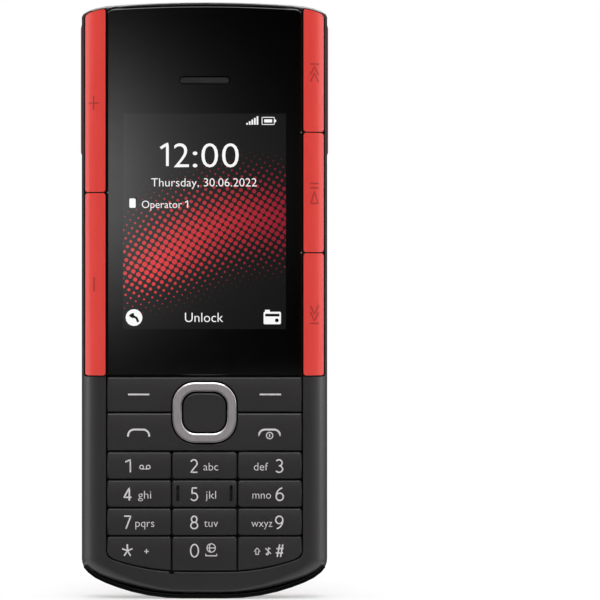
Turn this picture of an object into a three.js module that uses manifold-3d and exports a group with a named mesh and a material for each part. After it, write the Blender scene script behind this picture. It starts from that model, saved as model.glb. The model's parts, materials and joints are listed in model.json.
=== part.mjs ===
// A bar phone with a number pad. A cover on its back slides down and uncovers a pair of earbuds.
// The phone stands upright: +Z is up, the screen looks along -Y, and the origin lies under its middle.
import * as THREE from "three";
import { mergeVertices } from "three/addons/utils/BufferGeometryUtils.js";
import Module from "manifold-3d";

const wasm = await Module();
wasm.setup();

// Overall size, in millimetres
const phoneLength = 134.5;
const bodyWidth = 55.56;
const phoneThickness = 16.3;

// Clearances and cuts
const gap = 0.3;
const overrun = 2;
const wall = 1.5;
const mergeTolerance = 0.001;

// Outline of the body: nearly flat top, bowed bottom, soft corners
const topArcRadius = 320;
const topCornerWidth = 6.8;
const topCornerDrop = 2;
const bottomFlatHalf = 5;
const bottomArcRadius = 44.5;
const bottomCornerWidth = 4.5;
const bottomCornerRise = 2;

// Front shell
const shoulderWidth = 5.58;
const shoulderDepth = 5.9;
const topRounding = 0.5;
const bottomRounding = 1.4;
const bandHeight = 0.65;
const rimSink = 0.15;
const shelfThickness = 1;

// Screen
const glassThickness = 1;
const glassTopInset = 1.1;
const glassBevel = 0.25;
const glassCorner = 1.2;
const displaySideMargin = 1.9;
const displayDrop = 22.82;
const displayBorder = 7.4;
const earpieceDrop = 17.8;
const earpieceSlotWidth = 11.5;
const earpieceSlotHeight = 1.9;
const earpieceGrilleThickness = 0.85;
const earpieceWidth = 13;
const earpieceHeight = 7;

// Keypad
const ringProud = 0.3;
const keyThickness = 1.75;
const keyTravel = 0.3;
const keyBevel = 0.25;
const keyCorner = 0.5;
const keypadTop = 49.98;
const softRowHeight = 7.88;
const callRowHeight = 8.45;
const numberRowHeight = 6.05;
const centreKeyWidth = 14.5;
const chinHeight = 6.3;
const chinCorner = 1.3;
const markRidgeWidth = 0.7;
const markRidgeHeight = 3.4;
const markRidgeInset = 0.9;
const markRidgeProud = 0.12;
const microphoneHoleRadius = 0.65;
const matThickness = 0.6;
const matSlack = 0.1;

// Ring and select key
const ringWidth = 14.4;
const ringHeight = 13.6;
const ringCorner = 5;
const ringHoleWidth = 10.2;
const ringHoleHeight = 9.4;
const ringHoleCorner = 3.2;
const ringThickness = 1.4;
const ringBevel = 0.25;
const rockerInset = 0.8;
const rockerThickness = 0.35;

// Side keys
const sideKeyInset = 0.4;
const sideLip = 0.88;
const sideKeyThickness = 1;
const sideKeyTopInset = 0.9;
const volumeSplitShare = 0.489;
const upperMusicSplitShare = 0.65;
const lowerMusicSplitShare = 0.328;
const stripSlack = 0.15;
const stripThickness = 0.4;
const channelShelf = 0.85;

// Main board and what is soldered to it
const domeHeight = 0.3;
const domeRadius = 2;
const boardThickness = 1;
const boardEdge = 0.7;
const solderedHeight = 1.1;
const shieldMargin = 3.4;
const shieldHeight = 34;
const cardHolderWidth = 15;
const cardHolderHeight = 26;
const microphoneWidth = 3.6;
const microphoneHeight = 2.2;
const microphoneThickness = 0.75;

// Rear housing and red frame
const rearTaper = 1.45;
const rearTopTaper = 0.3;
const rearBottomTaper = 0.35;
const rearTaperPower = 1.3;
const rearStraight = 0.6;
const housingWall = 3;
const housingFloor = 0.8;
const frameSideInset = 2.28;
const frameEndInset = 1.1;
const frameDepth = 2.7;
const frameEase = 0.3;
const frameLip = 1.2;
const frameNotchHalf = 6.75;
const frameNotchTopHalf = 5.2;
const frameNotchHeight = 0.6;
const frameNotchDepth = 1.4;
const topBarHeight = 3.2;
const topBarRise = 1.1;
const topBarStep = 0.1;

// Grooves of the red frame, and the shoes that run in them
const grooveWidth = 1.5;
const grooveFloor = 0.7;
const undercutWidth = 1;
const railLipThickness = 0.7;
const grooveEndInset = 3.2;
const grooveTopMargin = 1.2;
const shoeClearance = 0.35;
const shoeThickness = 0.6;
const shoeReach = 1.2;

// Battery cover
const coverInset = 6.18;
const coverLedge = 0.9;
const coverThickness = 1.2;
const coverDrop = 1;
const coverBottom = 3.04;
const coverCorner = 0.8;
const coverCrownWidth = 5.6;
const coverCrownDepth = 0.7;
const coverEase = 0.35;

// Sliding cover
const sliderProud = 0.37;
const sliderLength = 37.45;
const sliderTopInset = 0.35;
const sliderWall = 1.1;
const sliderSideWall = 0.94;
const sliderClearance = 0.45;
const sliderCrownWidth = 5.65;
const sliderSideDepth = 4.85;
const sliderCrownDepth = 3.15;
const sliderBowRadius = 290;
const sliderBottomCornerWidth = 4.5;
const sliderBottomCornerRise = 2.4;
const sliderTopCornerWidth = 6;
const sliderTopCornerDrop = 1.9;
const sliderEdgeBevel = 0.75;
const chevronReach = 3.1;
const chevronRise = 1.95;
const chevronRadius = 0.55;
const chevronDepth = 0.25;
const chevronPitch = 3.6;
const chevronHeight = 7.15;

// Camera, flash and speaker slots in the battery cover
const coverOverlap = 1.55;
const slotDrop = 2.15;
const slotMargin = 0.7;
const slotHeight = 2;
const slotGrilleThickness = 0.8;
const cameraDrop = 8.7;
const cameraSize = 10.4;
const cameraCorner = 3.4;
const bezelWidth = 0.7;
const bezelProud = 0.15;
const windowThickness = 0.85;
const windowSink = 0.15;
const lensRecessRadius = 2.5;
const lensRadius = 2.1;
const lensRise = 0.35;
const cameraModuleSize = 8.4;
const flashOffset = 9.92;
const flashRadius = 2.1;
const flashProud = 0.05;
const lowerSlotHeight = 13.56;

// What the rear housing holds
const batterySlack = 0.4;
const batteryContactGap = 2.4;
const carrierTop = 18.6;
const bridgeDrop = 6.5;
const speakerMargin = 2.9;
const speakerHeight = 4.6;
const usbWidth = 9;
const usbHeight = 3;
const usbLength = 6.85;
const usbWall = 0.4;
const usbTongueThickness = 0.6;
const jackInset = 6.5;
const jackWidth = 5.6;
const jackLength = 11;
const jackNoseRadius = 2.3;
const jackNoseLength = 2.3;
const jackBoreRadius = 1.75;
const motorRadius = 2;
const motorLength = 9;
const motorBottom = 7.8;

// Screws
const screwInset = 3.5;
const screwRadius = 0.8;
const screwHeadRadius = 1.4;
const screwHeadHeight = 0.8;
const screwMargin = 3.8;
const trayScrewSeat = 3;
const bossRadius = 2;
const bossSkin = 0.4;

// Earbuds and their tray
const trayLift = 0.1;
const trayThickness = 0.5;
const trayRise = 0.5;
const trayEndMargin = 1;
const budOffsetShare = 0.556;
const budRadiusShare = 0.309;
const budTopMargin = 2.4;
const budClearance = 0.5;
const stemWidthShare = 0.261;
const stemDepth = 5;
const stemBottomMargin = 3.3;
const nozzleRadiusShare = 0.106;
const tipRadiusShare = 0.203;
const tipInset = 0.5;
const tipLengthShare = 0.198;
const contactWidth = 3;
const contactHeight = 1.2;

// Fineness of the round shapes
const bodyColumns = 20;
const fineColumns = 36;
const smallColumns = 10;
const curveSteps = 5;
const discSides = 20;
const shoulderSteps = 7;
const crownSteps = 5;

// Layers from the screen to the back
const half = bodyWidth / 2;
const frontY = -phoneThickness / 2;
const faceY = frontY + ringProud;
const rimY = faceY + rimSink;
const shoulderEndY = rimY + shoulderDepth;
const glassBackY = faceY + glassThickness;
const shelfY = glassBackY + gap;
const shelfBackY = shelfY + shelfThickness;
const keyBackY = faceY + keyThickness;
const matY = keyBackY + keyTravel + matSlack;
const matBackY = matY + matThickness;
const domeY = matBackY + gap;
const boardY = domeY + domeHeight;
const boardBackY = boardY + boardThickness;
const housingY = boardBackY + solderedHeight + gap;
const floorY = housingY + housingFloor;
const bayY = floorY + gap;
const sliderY = phoneThickness / 2;
const sliderInnerY = sliderY - sliderWall;
const sliderEdgeY = sliderY - sliderSideDepth;
const coverY = sliderInnerY - sliderClearance;
const coverInnerY = coverY - coverThickness;
const frameY = coverY - coverDrop;
const frameRootY = frameY - frameDepth;
const seatY = coverInnerY - gap;
const housingTopY = frameY - coverDrop;

// Widths and heights that several pieces share
const rimHalf = half - shoulderWidth;
const glassHalf = rimHalf - gap;
const coverHalf = half - coverInset;
const bayHalf = coverHalf - coverLedge;
const sliderHalf = half + sliderProud;
const screwOffset = glassHalf - screwInset;
const jackOffset = bayHalf - jackInset;
const speakerHalf = jackOffset - jackWidth / 2 - speakerMargin;
const slotWidth = 2 * (speakerHalf - slotMargin);
const glassBottom = keypadTop + gap;
const navHeight = keypadTop - softRowHeight - gap / 2;
const callRowTop = navHeight - gap / 2;
const numberTop = callRowTop - callRowHeight - gap;
const displayBottom = glassBottom + displayBorder;
const displayTop = phoneLength - displayDrop;
const earpieceHeightAt = phoneLength - earpieceDrop;
const sliderBottom = phoneLength - sliderLength;
const coverTop = sliderBottom + coverOverlap;
const trayBottom = coverTop + gap;
const upperSlotHeight = sliderBottom - slotDrop;
const cameraHeight = upperSlotHeight - cameraDrop;
const bridgeBottom = cameraHeight - bridgeDrop;
const lowerScrewHeight = glassBottom + screwMargin;
const upperScrewHeight = displayTop + screwMargin;

// How far a rounded corner draws an edge in at x, on a piece that reaches from low to high.
function cornerEase(x, low, high, width, depth) {
  const past = Math.max(0, low + width - x, x - high + width) / width;
  return depth * (1 - Math.sqrt(Math.max(0, 1 - past * past)));
}

// What the body's top edge has lost at x, and what its bottom edge has gained.
function topDrop(x) {
  return (x * x) / (2 * topArcRadius) + cornerEase(x, -half, half, topCornerWidth, topCornerDrop);
}

function bowRise(x) {
  const past = Math.max(0, Math.abs(x) - bottomFlatHalf);
  return (past * past) / (2 * bottomArcRadius);
}

function bottomRise(x) {
  return bowRise(x) + cornerEase(x, -half, half, bottomCornerWidth, bottomCornerRise);
}

// Edges of a flat area as functions of x.
const level = (height) => () => height;
const belowTop = (inset) => (x) => phoneLength - topDrop(x) - inset;

// The body's outline at one place along Y, drawn in at its sides, its top and its bottom.
function bodyStation(y, side, top, bottom) {
  const right = half - side;
  const spread = half / right;
  return {
    y,
    left: -right,
    right,
    lower: (x) => bottomRise(x * spread) + bottom,
    upper: (x) => phoneLength - topDrop(x * spread) - top,
  };
}

// A three.js geometry with closed faces, as a solid that can be joined and cut.
function solidOf(geometry) {
  const bare = geometry.index ? geometry.toNonIndexed() : geometry.clone();
  bare.deleteAttribute("normal");
  bare.deleteAttribute("uv");
  const merged = mergeVertices(bare, mergeTolerance);
  return new wasm.Manifold(
    new wasm.Mesh({
      numProp: 3,
      vertProperties: merged.attributes.position.array,
      triVerts: new Uint32Array(merged.index.array),
    }),
  );
}

// A solid through flat areas that follow each other along Y, from the screen side to the back.
function loft(stations, columns = smallColumns) {
  const positions = [];
  const index = [];
  const ring = 2 * (columns + 1);
  for (const { y, left, right, lower, upper } of stations) {
    const middle = (left + right) / 2;
    const reach = (right - left) / 2;
    const across = (i) => middle - reach * Math.cos((Math.PI * i) / columns);
    for (let i = 0; i <= columns; i++) positions.push(across(i), y, upper(across(i)));
    for (let i = columns; i >= 0; i--) positions.push(across(i), y, lower(across(i)));
  }
  const last = (stations.length - 1) * ring;
  for (let start = 0; start < last; start += ring) {
    for (let i = 0; i < ring; i++) {
      const a = start + i;
      const b = start + ((i + 1) % ring);
      index.push(a, b, b + ring, a, b + ring, a + ring);
    }
  }
  for (let i = 0; i < columns; i++) {
    const low = ring - 1 - i;
    index.push(i, low, i + 1, i + 1, low, low - 1);
    index.push(last + i, last + i + 1, last + low, last + i + 1, last + low - 1, last + low);
  }
  const geometry = new THREE.BufferGeometry();
  geometry.setAttribute("position", new THREE.Float32BufferAttribute(positions, 3));
  geometry.setIndex(index);
  return solidOf(geometry);
}

// A plate of one area between two places along Y.
function band(area, front, back, columns = smallColumns) {
  return loft(
    [
      { ...area, y: front },
      { ...area, y: back },
    ],
    columns,
  );
}

// A plate cut from a drawn shape whose x and y are the phone's x and z.
function plate(shape, front, back) {
  const geometry = new THREE.ExtrudeGeometry(shape, {
    depth: back - front,
    bevelEnabled: false,
    curveSegments: curveSteps,
  });
  geometry.rotateX(Math.PI / 2);
  geometry.translate(0, back, 0);
  return solidOf(geometry);
}

// The same plate with its edges cut off at a slant on both faces.
function bevelledPlate(shape, front, back, bevel) {
  const geometry = new THREE.ExtrudeGeometry(shape, {
    depth: back - front - 2 * bevel,
    bevelThickness: bevel,
    bevelSize: bevel,
    bevelOffset: -bevel,
    bevelSegments: 1,
    curveSegments: curveSteps,
  });
  geometry.rotateX(Math.PI / 2);
  geometry.translate(0, back - bevel, 0);
  return solidOf(geometry);
}

// A bar along Z whose section is given by points in x and y.
function bar(points, bottom, top) {
  const section = new THREE.Shape(points.map(([x, y]) => new THREE.Vector2(x, y)));
  const geometry = new THREE.ExtrudeGeometry(section, { depth: top - bottom, bevelEnabled: false });
  geometry.translate(0, 0, bottom);
  return solidOf(geometry);
}

// A block between two corners.
function block([x0, y0, z0], [x1, y1, z1]) {
  const geometry = new THREE.BoxGeometry(x1 - x0, y1 - y0, z1 - z0);
  geometry.translate((x0 + x1) / 2, (y0 + y1) / 2, (z0 + z1) / 2);
  return solidOf(geometry);
}

// A round plate across Y, and a round bar along Z.
function disc(radius, front, back, x, z) {
  const geometry = new THREE.CylinderGeometry(radius, radius, back - front, discSides);
  geometry.translate(x, (front + back) / 2, z);
  return solidOf(geometry);
}

function roundBar(radius, bottom, top, x, y) {
  const geometry = new THREE.CylinderGeometry(radius, radius, top - bottom, discSides);
  geometry.rotateX(Math.PI / 2);
  geometry.translate(x, y, (bottom + top) / 2);
  return solidOf(geometry);
}

// A drawn rectangle with round corners, centred at x and z.
function roundedShape(width, height, radius, x, z) {
  const right = width / 2 - radius;
  const up = height / 2 - radius;
  const quarter = Math.PI / 2;
  const shape = new THREE.Shape();
  shape.absarc(x + right, z + up, radius, 0, quarter);
  shape.absarc(x - right, z + up, radius, quarter, 2 * quarter);
  shape.absarc(x - right, z - up, radius, 2 * quarter, 3 * quarter);
  shape.absarc(x + right, z - up, radius, 3 * quarter, 4 * quarter);
  shape.closePath();
  return shape;
}

// A slot with round ends, and the same slot grown by a margin.
function slotShape(width, height, z, margin = 0) {
  return roundedShape(width + 2 * margin, height + 2 * margin, height / 2 + margin, 0, z);
}

// The shoulder's surface at x, and the straight line that its keys follow.
function shoulderY(x) {
  const out = Math.max(0, Math.abs(x) - rimHalf) / shoulderWidth;
  return shoulderEndY - shoulderDepth * Math.sqrt(Math.max(0, 1 - out * out));
}

const sideKeyInner = glassHalf + sideKeyInset;
const sideKeyOuter = half - sideLip;
const chordSlope =
  (shoulderY(sideKeyOuter) - shoulderY(sideKeyInner)) / (sideKeyOuter - sideKeyInner);
const chordY = (x) => shoulderY(sideKeyInner) + chordSlope * (x - sideKeyInner);
const stripFront = sideKeyThickness + keyTravel + stripSlack;
const channelFloor = stripFront + stripThickness + gap;
const caveFront = channelFloor + channelShelf;
const caveHalfAt = (y) => sideKeyInner + (y - chordY(sideKeyInner) - caveFront) / chordSlope;

// Areas that the front shell shares with what lies in it.
function glassArea(margin) {
  const left = -glassHalf - margin;
  const right = glassHalf + margin;
  const corner = glassCorner + margin;
  return {
    left,
    right,
    lower: level(glassBottom - margin),
    upper: (x) => belowTop(glassTopInset - margin)(x) - cornerEase(x, left, right, corner, corner),
  };
}

function keypadArea(margin, top) {
  const left = -glassHalf - margin;
  const right = glassHalf + margin;
  const corner = chinCorner + margin;
  return {
    left,
    right,
    lower: (x) => chinHeight - margin + bowRise(x) + cornerEase(x, left, right, corner, corner),
    upper: level(top),
  };
}

function sideKeyArea(margin, bottom, top) {
  const left = sideKeyInner - margin;
  const right = sideKeyOuter + margin;
  const ease = (x) => cornerEase(x, left, right, keyCorner, keyCorner);
  return {
    left,
    right,
    lower: (x) => bottom + ease(x),
    upper: (x) => Math.min(top, belowTop(sideKeyTopInset - margin)(x)) - ease(x),
  };
}

function displayBlock(margin, front, back) {
  const side = glassHalf - displaySideMargin + margin;
  return block([-side, front, displayBottom - margin], [side, back, displayTop + margin]);
}

function earpieceBlock(margin, front, back) {
  const side = earpieceWidth / 2 + margin;
  const rise = earpieceHeight / 2 + margin;
  return block([-side, front, earpieceHeightAt - rise], [side, back, earpieceHeightAt + rise]);
}

function usbBlock(margin, top) {
  const side = usbWidth / 2 + margin;
  const front = boardBackY + gap - margin;
  return block([-side, front, -overrun], [side, front + usbHeight + 2 * margin, top]);
}

const jackY = boardBackY + gap + jackWidth / 2;
const jackBottom = bottomRise(jackOffset) + jackNoseLength + gap;

function jackBlock(margin) {
  const side = jackWidth / 2 + margin;
  return block(
    [jackOffset - side, jackY - side, jackBottom - margin],
    [jackOffset + side, jackY + side, jackBottom + jackLength + margin],
  );
}

const jackHole = () => roundBar(jackNoseRadius + gap, -overrun, jackBottom + overrun, jackOffset, jackY);
const screwPlaces = [
  ["upper_left", -screwOffset, upperScrewHeight],
  ["upper_right", screwOffset, upperScrewHeight],
  ["lower_left", -screwOffset, lowerScrewHeight],
  ["lower_right", screwOffset, lowerScrewHeight],
];

// Front shell: sloped shoulders, an opening for glass and keypad, and a channel for the side keys.
function shoulderStation(turn) {
  const out = 1 - Math.cos(turn);
  return bodyStation(
    shoulderEndY - shoulderDepth * Math.sin(turn),
    shoulderWidth * out,
    topRounding * out,
    bandHeight + bottomRounding * out,
  );
}

function frontShell() {
  const stations = [];
  for (let i = shoulderSteps; i >= 0; i--) {
    stations.push(shoulderStation((Math.PI / 2) * (i / shoulderSteps)));
  }
  stations.push(bodyStation(-gap / 2, 0, 0, bandHeight));
  const innerBottom = bandHeight + wall;
  const caveEndY = chordY(half - wall) + caveFront;
  const cave = loft(
    [
      bodyStation(shelfBackY, half - caveHalfAt(shelfBackY), wall, innerBottom),
      bodyStation(caveEndY, wall, wall, innerBottom),
      bodyStation(overrun, wall, wall, innerBottom),
    ],
    bodyColumns,
  );
  const boss = ([, x, z]) => disc(bossRadius, shelfBackY - gap, boardY - gap, x, z);
  let shell = loft(stations, bodyColumns).subtract(cave);
  for (const place of screwPlaces) shell = shell.add(boss(place));
  for (const [, x, z] of screwPlaces) {
    shell = shell.subtract(disc(screwRadius + gap, shelfY + bossSkin, boardY, x, z));
  }
  for (const side of [-1, 1]) shell = shell.subtract(sideChannel(side));
  const outside = frontY - overrun;
  const opening = { ...keypadArea(gap, 0), upper: glassArea(gap).upper };
  return shell
    .subtract(band(opening, outside, shelfY, fineColumns))
    .subtract(band(keypadArea(gap, glassBottom), outside, boardY, fineColumns))
    .subtract(displayBlock(gap, outside, 0))
    .subtract(earpieceBlock(gap, outside, 0))
    .subtract(microphoneHole())
    .subtract(usbBlock(gap, jackBottom))
    .subtract(jackBlock(gap))
    .subtract(jackHole());
}

function microphoneHole() {
  const x = -centreKeyWidth / 2 - gap / 2;
  return disc(microphoneHoleRadius, frontY - overrun, boardY, x, chinHeight - gap / 2);
}

// One side's channel for the keys, open to the outside and parallel to the keys at its floor.
function sideChannel(side) {
  const inner = sideKeyInner - gap - gap / 2;
  const outer = sideKeyOuter + gap;
  const section = [
    [inner, frontY - overrun],
    [outer, frontY - overrun],
    [outer, chordY(outer) + channelFloor],
    [inner, chordY(inner) + channelFloor],
  ];
  const area = { ...sideKeyArea(gap, glassBottom - gap, phoneLength), left: inner, right: outer };
  return mirrored(
    bar(section, glassBottom - gap, phoneLength).intersect(band(area, frontY - overrun, sliderY)),
    side,
  );
}

// A solid made for the right side, as it is or turned over to the left side.
function mirrored(solid, side) {
  return side < 0 ? solid.mirror([1, 0, 0]) : solid;
}

// One red side key: its face follows the shoulder, its ends run straight in.
function sideKey(side, bottom, top) {
  const face = [];
  for (let i = 0; i <= crownSteps; i++) {
    const x = sideKeyOuter + ((sideKeyInner - sideKeyOuter) * i) / crownSteps;
    face.push([x, shoulderY(x) - rimSink]);
  }
  const section = [
    [sideKeyInner, chordY(sideKeyInner) + sideKeyThickness],
    [sideKeyOuter, chordY(sideKeyOuter) + sideKeyThickness],
    ...face,
  ];
  const area = sideKeyArea(0, bottom, top);
  return mirrored(bar(section, bottom, top).intersect(band(area, frontY - overrun, sliderY)), side);
}

// The strip with the switches of one side's keys.
function switchStrip(side) {
  const section = [
    [sideKeyInner, chordY(sideKeyInner) + stripFront],
    [sideKeyInner, chordY(sideKeyInner) + stripFront + stripThickness],
    [sideKeyOuter, chordY(sideKeyOuter) + stripFront + stripThickness],
    [sideKeyOuter, chordY(sideKeyOuter) + stripFront],
  ].reverse();
  const area = sideKeyArea(0, glassBottom, phoneLength);
  return mirrored(
    bar(section, glassBottom, phoneLength).intersect(band(area, frontY - overrun, sliderY)),
    side,
  );
}

function frontGlass() {
  const inner = glassArea(-glassBevel);
  const glass = loft(
    [
      { ...inner, y: faceY },
      { ...glassArea(0), y: faceY + glassBevel },
      { ...glassArea(0), y: glassBackY },
    ],
    bodyColumns,
  );
  const slot = slotShape(earpieceSlotWidth, earpieceSlotHeight, earpieceHeightAt);
  return glass.subtract(plate(slot, frontY, shelfY));
}

const displayModule = () => displayBlock(0, shelfY, boardY - gap);
const earpiece = () => earpieceBlock(0, shelfY, boardY - gap);

function earpieceGrille() {
  const slot = slotShape(earpieceSlotWidth, earpieceSlotHeight, earpieceHeightAt, -gap);
  return plate(slot, glassBackY - earpieceGrilleThickness + gap / 2, glassBackY);
}

// A key with its upper edges cut off at a slant.
function key(area, columns = smallColumns) {
  const crown = {
    left: area.left + keyBevel,
    right: area.right - keyBevel,
    lower: (x) => area.lower(x) + keyBevel,
    upper: (x) => area.upper(x) - keyBevel,
  };
  return loft(
    [
      { ...crown, y: faceY },
      { ...area, y: faceY + keyBevel },
      { ...area, y: keyBackY },
    ],
    columns,
  );
}

// The two wide bars, above and below the middle line of the ring, leave room for the ring.
function keyBar(bottom, top) {
  const area = { left: -glassHalf, right: glassHalf, lower: level(bottom), upper: level(top) };
  const room = roundedShape(
    ringWidth + 2 * gap,
    ringHeight + 2 * gap,
    ringCorner + gap,
    0,
    navHeight,
  );
  return key(area).subtract(plate(room, frontY - overrun, floorY));
}

function navRing() {
  const shape = roundedShape(ringWidth, ringHeight, ringCorner, 0, navHeight);
  shape.holes.push(roundedShape(ringHoleWidth, ringHoleHeight, ringHoleCorner, 0, navHeight));
  return bevelledPlate(shape, frontY, frontY + ringThickness, ringBevel);
}

function navRocker() {
  const width = ringWidth - 2 * rockerInset;
  const height = ringHeight - 2 * rockerInset;
  const shape = roundedShape(width, height, ringCorner - rockerInset, 0, navHeight);
  shape.holes.push(roundedShape(ringHoleWidth, ringHoleHeight, ringHoleCorner, 0, navHeight));
  const front = frontY + ringThickness + gap;
  return plate(shape, front, front + rockerThickness);
}

function selectKey() {
  const shape = roundedShape(
    ringHoleWidth - 2 * gap,
    ringHoleHeight - 2 * gap,
    ringHoleCorner - gap,
    0,
    navHeight,
  );
  return bevelledPlate(shape, faceY, keyBackY, keyBevel);
}

// Number keys: three columns, four rows, the last row ends at the bowed chin.
const columnEdges = [
  [-glassHalf, -centreKeyWidth / 2 - gap],
  [-centreKeyWidth / 2, centreKeyWidth / 2],
  [centreKeyWidth / 2 + gap, glassHalf],
];
const numberNames = ["1", "2", "3", "4", "5", "6", "7", "8", "9", "star", "0", "hash"];

function numberKey(place) {
  const [left, right] = columnEdges[place % 3];
  const row = Math.floor(place / 3);
  const top = numberTop - row * (numberRowHeight + gap);
  const ease = (x) => cornerEase(x, left, right, keyCorner, keyCorner);
  const chin = keypadArea(0, top).lower;
  return key({
    left,
    right,
    lower: row === 3 ? chin : (x) => top - numberRowHeight + ease(x),
    upper: (x) => top - ease(x),
  });
}

// The middle key carries two ridges that a thumb can feel.
function markRidges() {
  const middle = numberTop - (numberRowHeight + gap) - numberRowHeight / 2;
  const inner = centreKeyWidth / 2 - markRidgeInset - markRidgeWidth;
  return [-1, 1].map((side) =>
    mirrored(
      block(
        [inner, faceY - markRidgeProud, middle - markRidgeHeight / 2],
        [inner + markRidgeWidth, faceY + keyBevel, middle + markRidgeHeight / 2],
      ),
      side,
    ),
  );
}

const keypadMat = () => band(keypadArea(0, keypadTop), matY, matBackY, bodyColumns);

// Main board with its domes, shield can, card holder and microphone.
function mainBoard() {
  const boardHalf = caveHalfAt(boardY) - boardEdge;
  const bottom = bandHeight + wall + boardEdge;
  const outline = bodyStation(boardY, half - boardHalf, wall + boardEdge, bottom);
  const shieldTop = trayBottom;
  let board = band(outline, boardY, boardBackY, bodyColumns);
  const solder = boardBackY + solderedHeight;
  const shield = block(
    [shieldMargin - screwOffset, boardBackY - gap, shieldTop - shieldHeight],
    [screwOffset - shieldMargin, solder, shieldTop],
  );
  const holderTop = shieldTop - shieldHeight - gap;
  const holder = block(
    [-cardHolderWidth / 2, boardBackY - gap, holderTop - cardHolderHeight],
    [cardHolderWidth / 2, solder, holderTop],
  );
  const microphoneX = -centreKeyWidth / 2;
  const microphoneTop = chinHeight - 2 * gap;
  const microphoneBottom = microphoneTop - microphoneHeight;
  const microphone = block(
    [microphoneX - microphoneWidth / 2, boardY - microphoneThickness, microphoneBottom],
    [microphoneX + microphoneWidth / 2, boardY + gap, microphoneTop],
  );
  board = board.add(shield).add(holder).add(microphone);
  for (const [x, z] of domePlaces()) board = board.add(disc(domeRadius, domeY, boardY + gap, x, z));
  for (const [, x, z] of screwPlaces) {
    board = board.subtract(disc(screwRadius + gap, boardY - overrun, floorY, x, z));
  }
  return board;
}

function domePlaces() {
  const places = [[0, navHeight]];
  const columnMiddles = columnEdges.map(([left, right]) => (left + right) / 2);
  for (let row = 0; row < 4; row++) {
    const z = numberTop - numberRowHeight / 2 - row * (numberRowHeight + gap);
    for (const x of columnMiddles) places.push([x, z]);
  }
  for (const side of [-1, 1]) {
    places.push([side * columnMiddles[2], keypadTop - softRowHeight / 2]);
    places.push([side * columnMiddles[2], callRowTop - callRowHeight / 2]);
  }
  return places;
}

// Rear housing: tapered sides, a tongue inside the front shell, a floor, and a seat for the frame.
function rearSide(y) {
  const share = Math.max(0, y - rearStraight) / (housingTopY - rearStraight);
  return share ** rearTaperPower;
}

function rearHousing() {
  const outerAt = (y) =>
    bodyStation(y, rearTaper * rearSide(y), rearTopTaper * rearSide(y), rearBottomTaper * rearSide(y));
  const stations = [outerAt(gap / 2)];
  for (let i = 0; i <= crownSteps; i++) {
    stations.push(outerAt(rearStraight + ((housingTopY - rearStraight) * i) / crownSteps));
  }
  const tongue = wall + gap;
  const shoulder = gap / 2 + wall;
  const inset = housingWall;
  const bay = bodyStation(floorY, inset, inset, inset + gap);
  const seat = bodyStation(frameRootY, frameSideInset - gap, frameEndInset - gap, frameEndInset - gap);
  const trayHole = { ...bayArea(trayBottom - gap, trayInset - gap), left: -bayHalf, right: bayHalf };
  let housing = loft(stations, bodyColumns)
    .add(band(bodyStation(housingY, tongue, tongue, bandHeight + tongue), housingY, shoulder, bodyColumns))
    .subtract(band(bay, floorY, sliderY, bodyColumns))
    .subtract(band(seat, frameRootY - gap, sliderY, bodyColumns))
    .subtract(band(trayHole, housingY - overrun, sliderY, bodyColumns))
    .subtract(usbBlock(gap, usbTop + gap))
    .subtract(jackBlock(gap))
    .subtract(jackHole());
  for (const [, x, z] of screwPlaces.slice(2)) {
    housing = housing.subtract(disc(screwRadius + gap, housingY - overrun, floorY + overrun, x, z));
  }
  return housing;
}

const usbMouth = bandHeight + gap;
const usbTop = usbMouth + usbLength;
const trayInset = topBarHeight + topBarStep + gap;

// The opening between the rails, from a height up to the frame's top bar.
function bayArea(bottom, top) {
  return { left: -bayHalf, right: bayHalf, lower: level(bottom), upper: belowTop(top) };
}

// Red frame: two rails with undercut grooves, a rim below the cover and a bar at the top.
function rearFrame() {
  const outline = (y, ease) =>
    bodyStation(y, frameSideInset + ease, frameEndInset + ease, frameEndInset + ease);
  const body = loft(
    [outline(frameRootY, 0), outline(frameY - frameEase, 0), outline(frameY, frameEase)],
    bodyColumns,
  );
  const barArea = bodyStation(0, half - coverHalf, frameEndInset + frameEase, 0);
  const topBar = {
    left: barArea.left,
    right: barArea.right,
    upper: belowTop(frameEndInset + frameEase),
    lower: belowTop(topBarHeight),
  };
  const opening = {
    left: -bayHalf,
    right: bayHalf,
    lower: (x) => coverBottom + frameLip + bowRise(x),
    upper: belowTop(trayInset - gap),
  };
  let frame = body
    .add(band(topBar, frameRootY, frameY + topBarRise, bodyColumns))
    .subtract(band(coverArea(gap), seatY, sliderY, bodyColumns))
    .subtract(band(opening, frameRootY - overrun, sliderY, bodyColumns))
    .subtract(frameNotch());
  for (const side of [-1, 1]) frame = frame.subtract(mirrored(groove(), side));
  return frame;
}

function frameNotch() {
  const shape = new THREE.Shape([
    new THREE.Vector2(-frameNotchHalf, 0),
    new THREE.Vector2(frameNotchHalf, 0),
    new THREE.Vector2(frameNotchHalf, frameEndInset),
    new THREE.Vector2(frameNotchTopHalf, frameEndInset + frameNotchHeight),
    new THREE.Vector2(-frameNotchTopHalf, frameEndInset + frameNotchHeight),
    new THREE.Vector2(-frameNotchHalf, frameEndInset),
  ]);
  return plate(shape, frameY - frameNotchDepth, sliderY);
}

const grooveInner = coverHalf + gap;
const grooveOuter = grooveInner + grooveWidth;
const undercutY = frameRootY + grooveFloor;
const railLipY = frameY - railLipThickness;
const grooveTop = phoneLength - topDrop(grooveOuter + undercutWidth) - frameEndInset - grooveTopMargin;

function grooveArea(right) {
  return {
    left: grooveInner,
    right,
    lower: (x) => bowRise(x) + grooveEndInset,
    upper: level(grooveTop),
  };
}

function groove() {
  const undercut = band(grooveArea(grooveOuter + undercutWidth), undercutY, railLipY);
  return band(grooveArea(grooveOuter), undercutY, sliderY).add(undercut);
}

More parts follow.
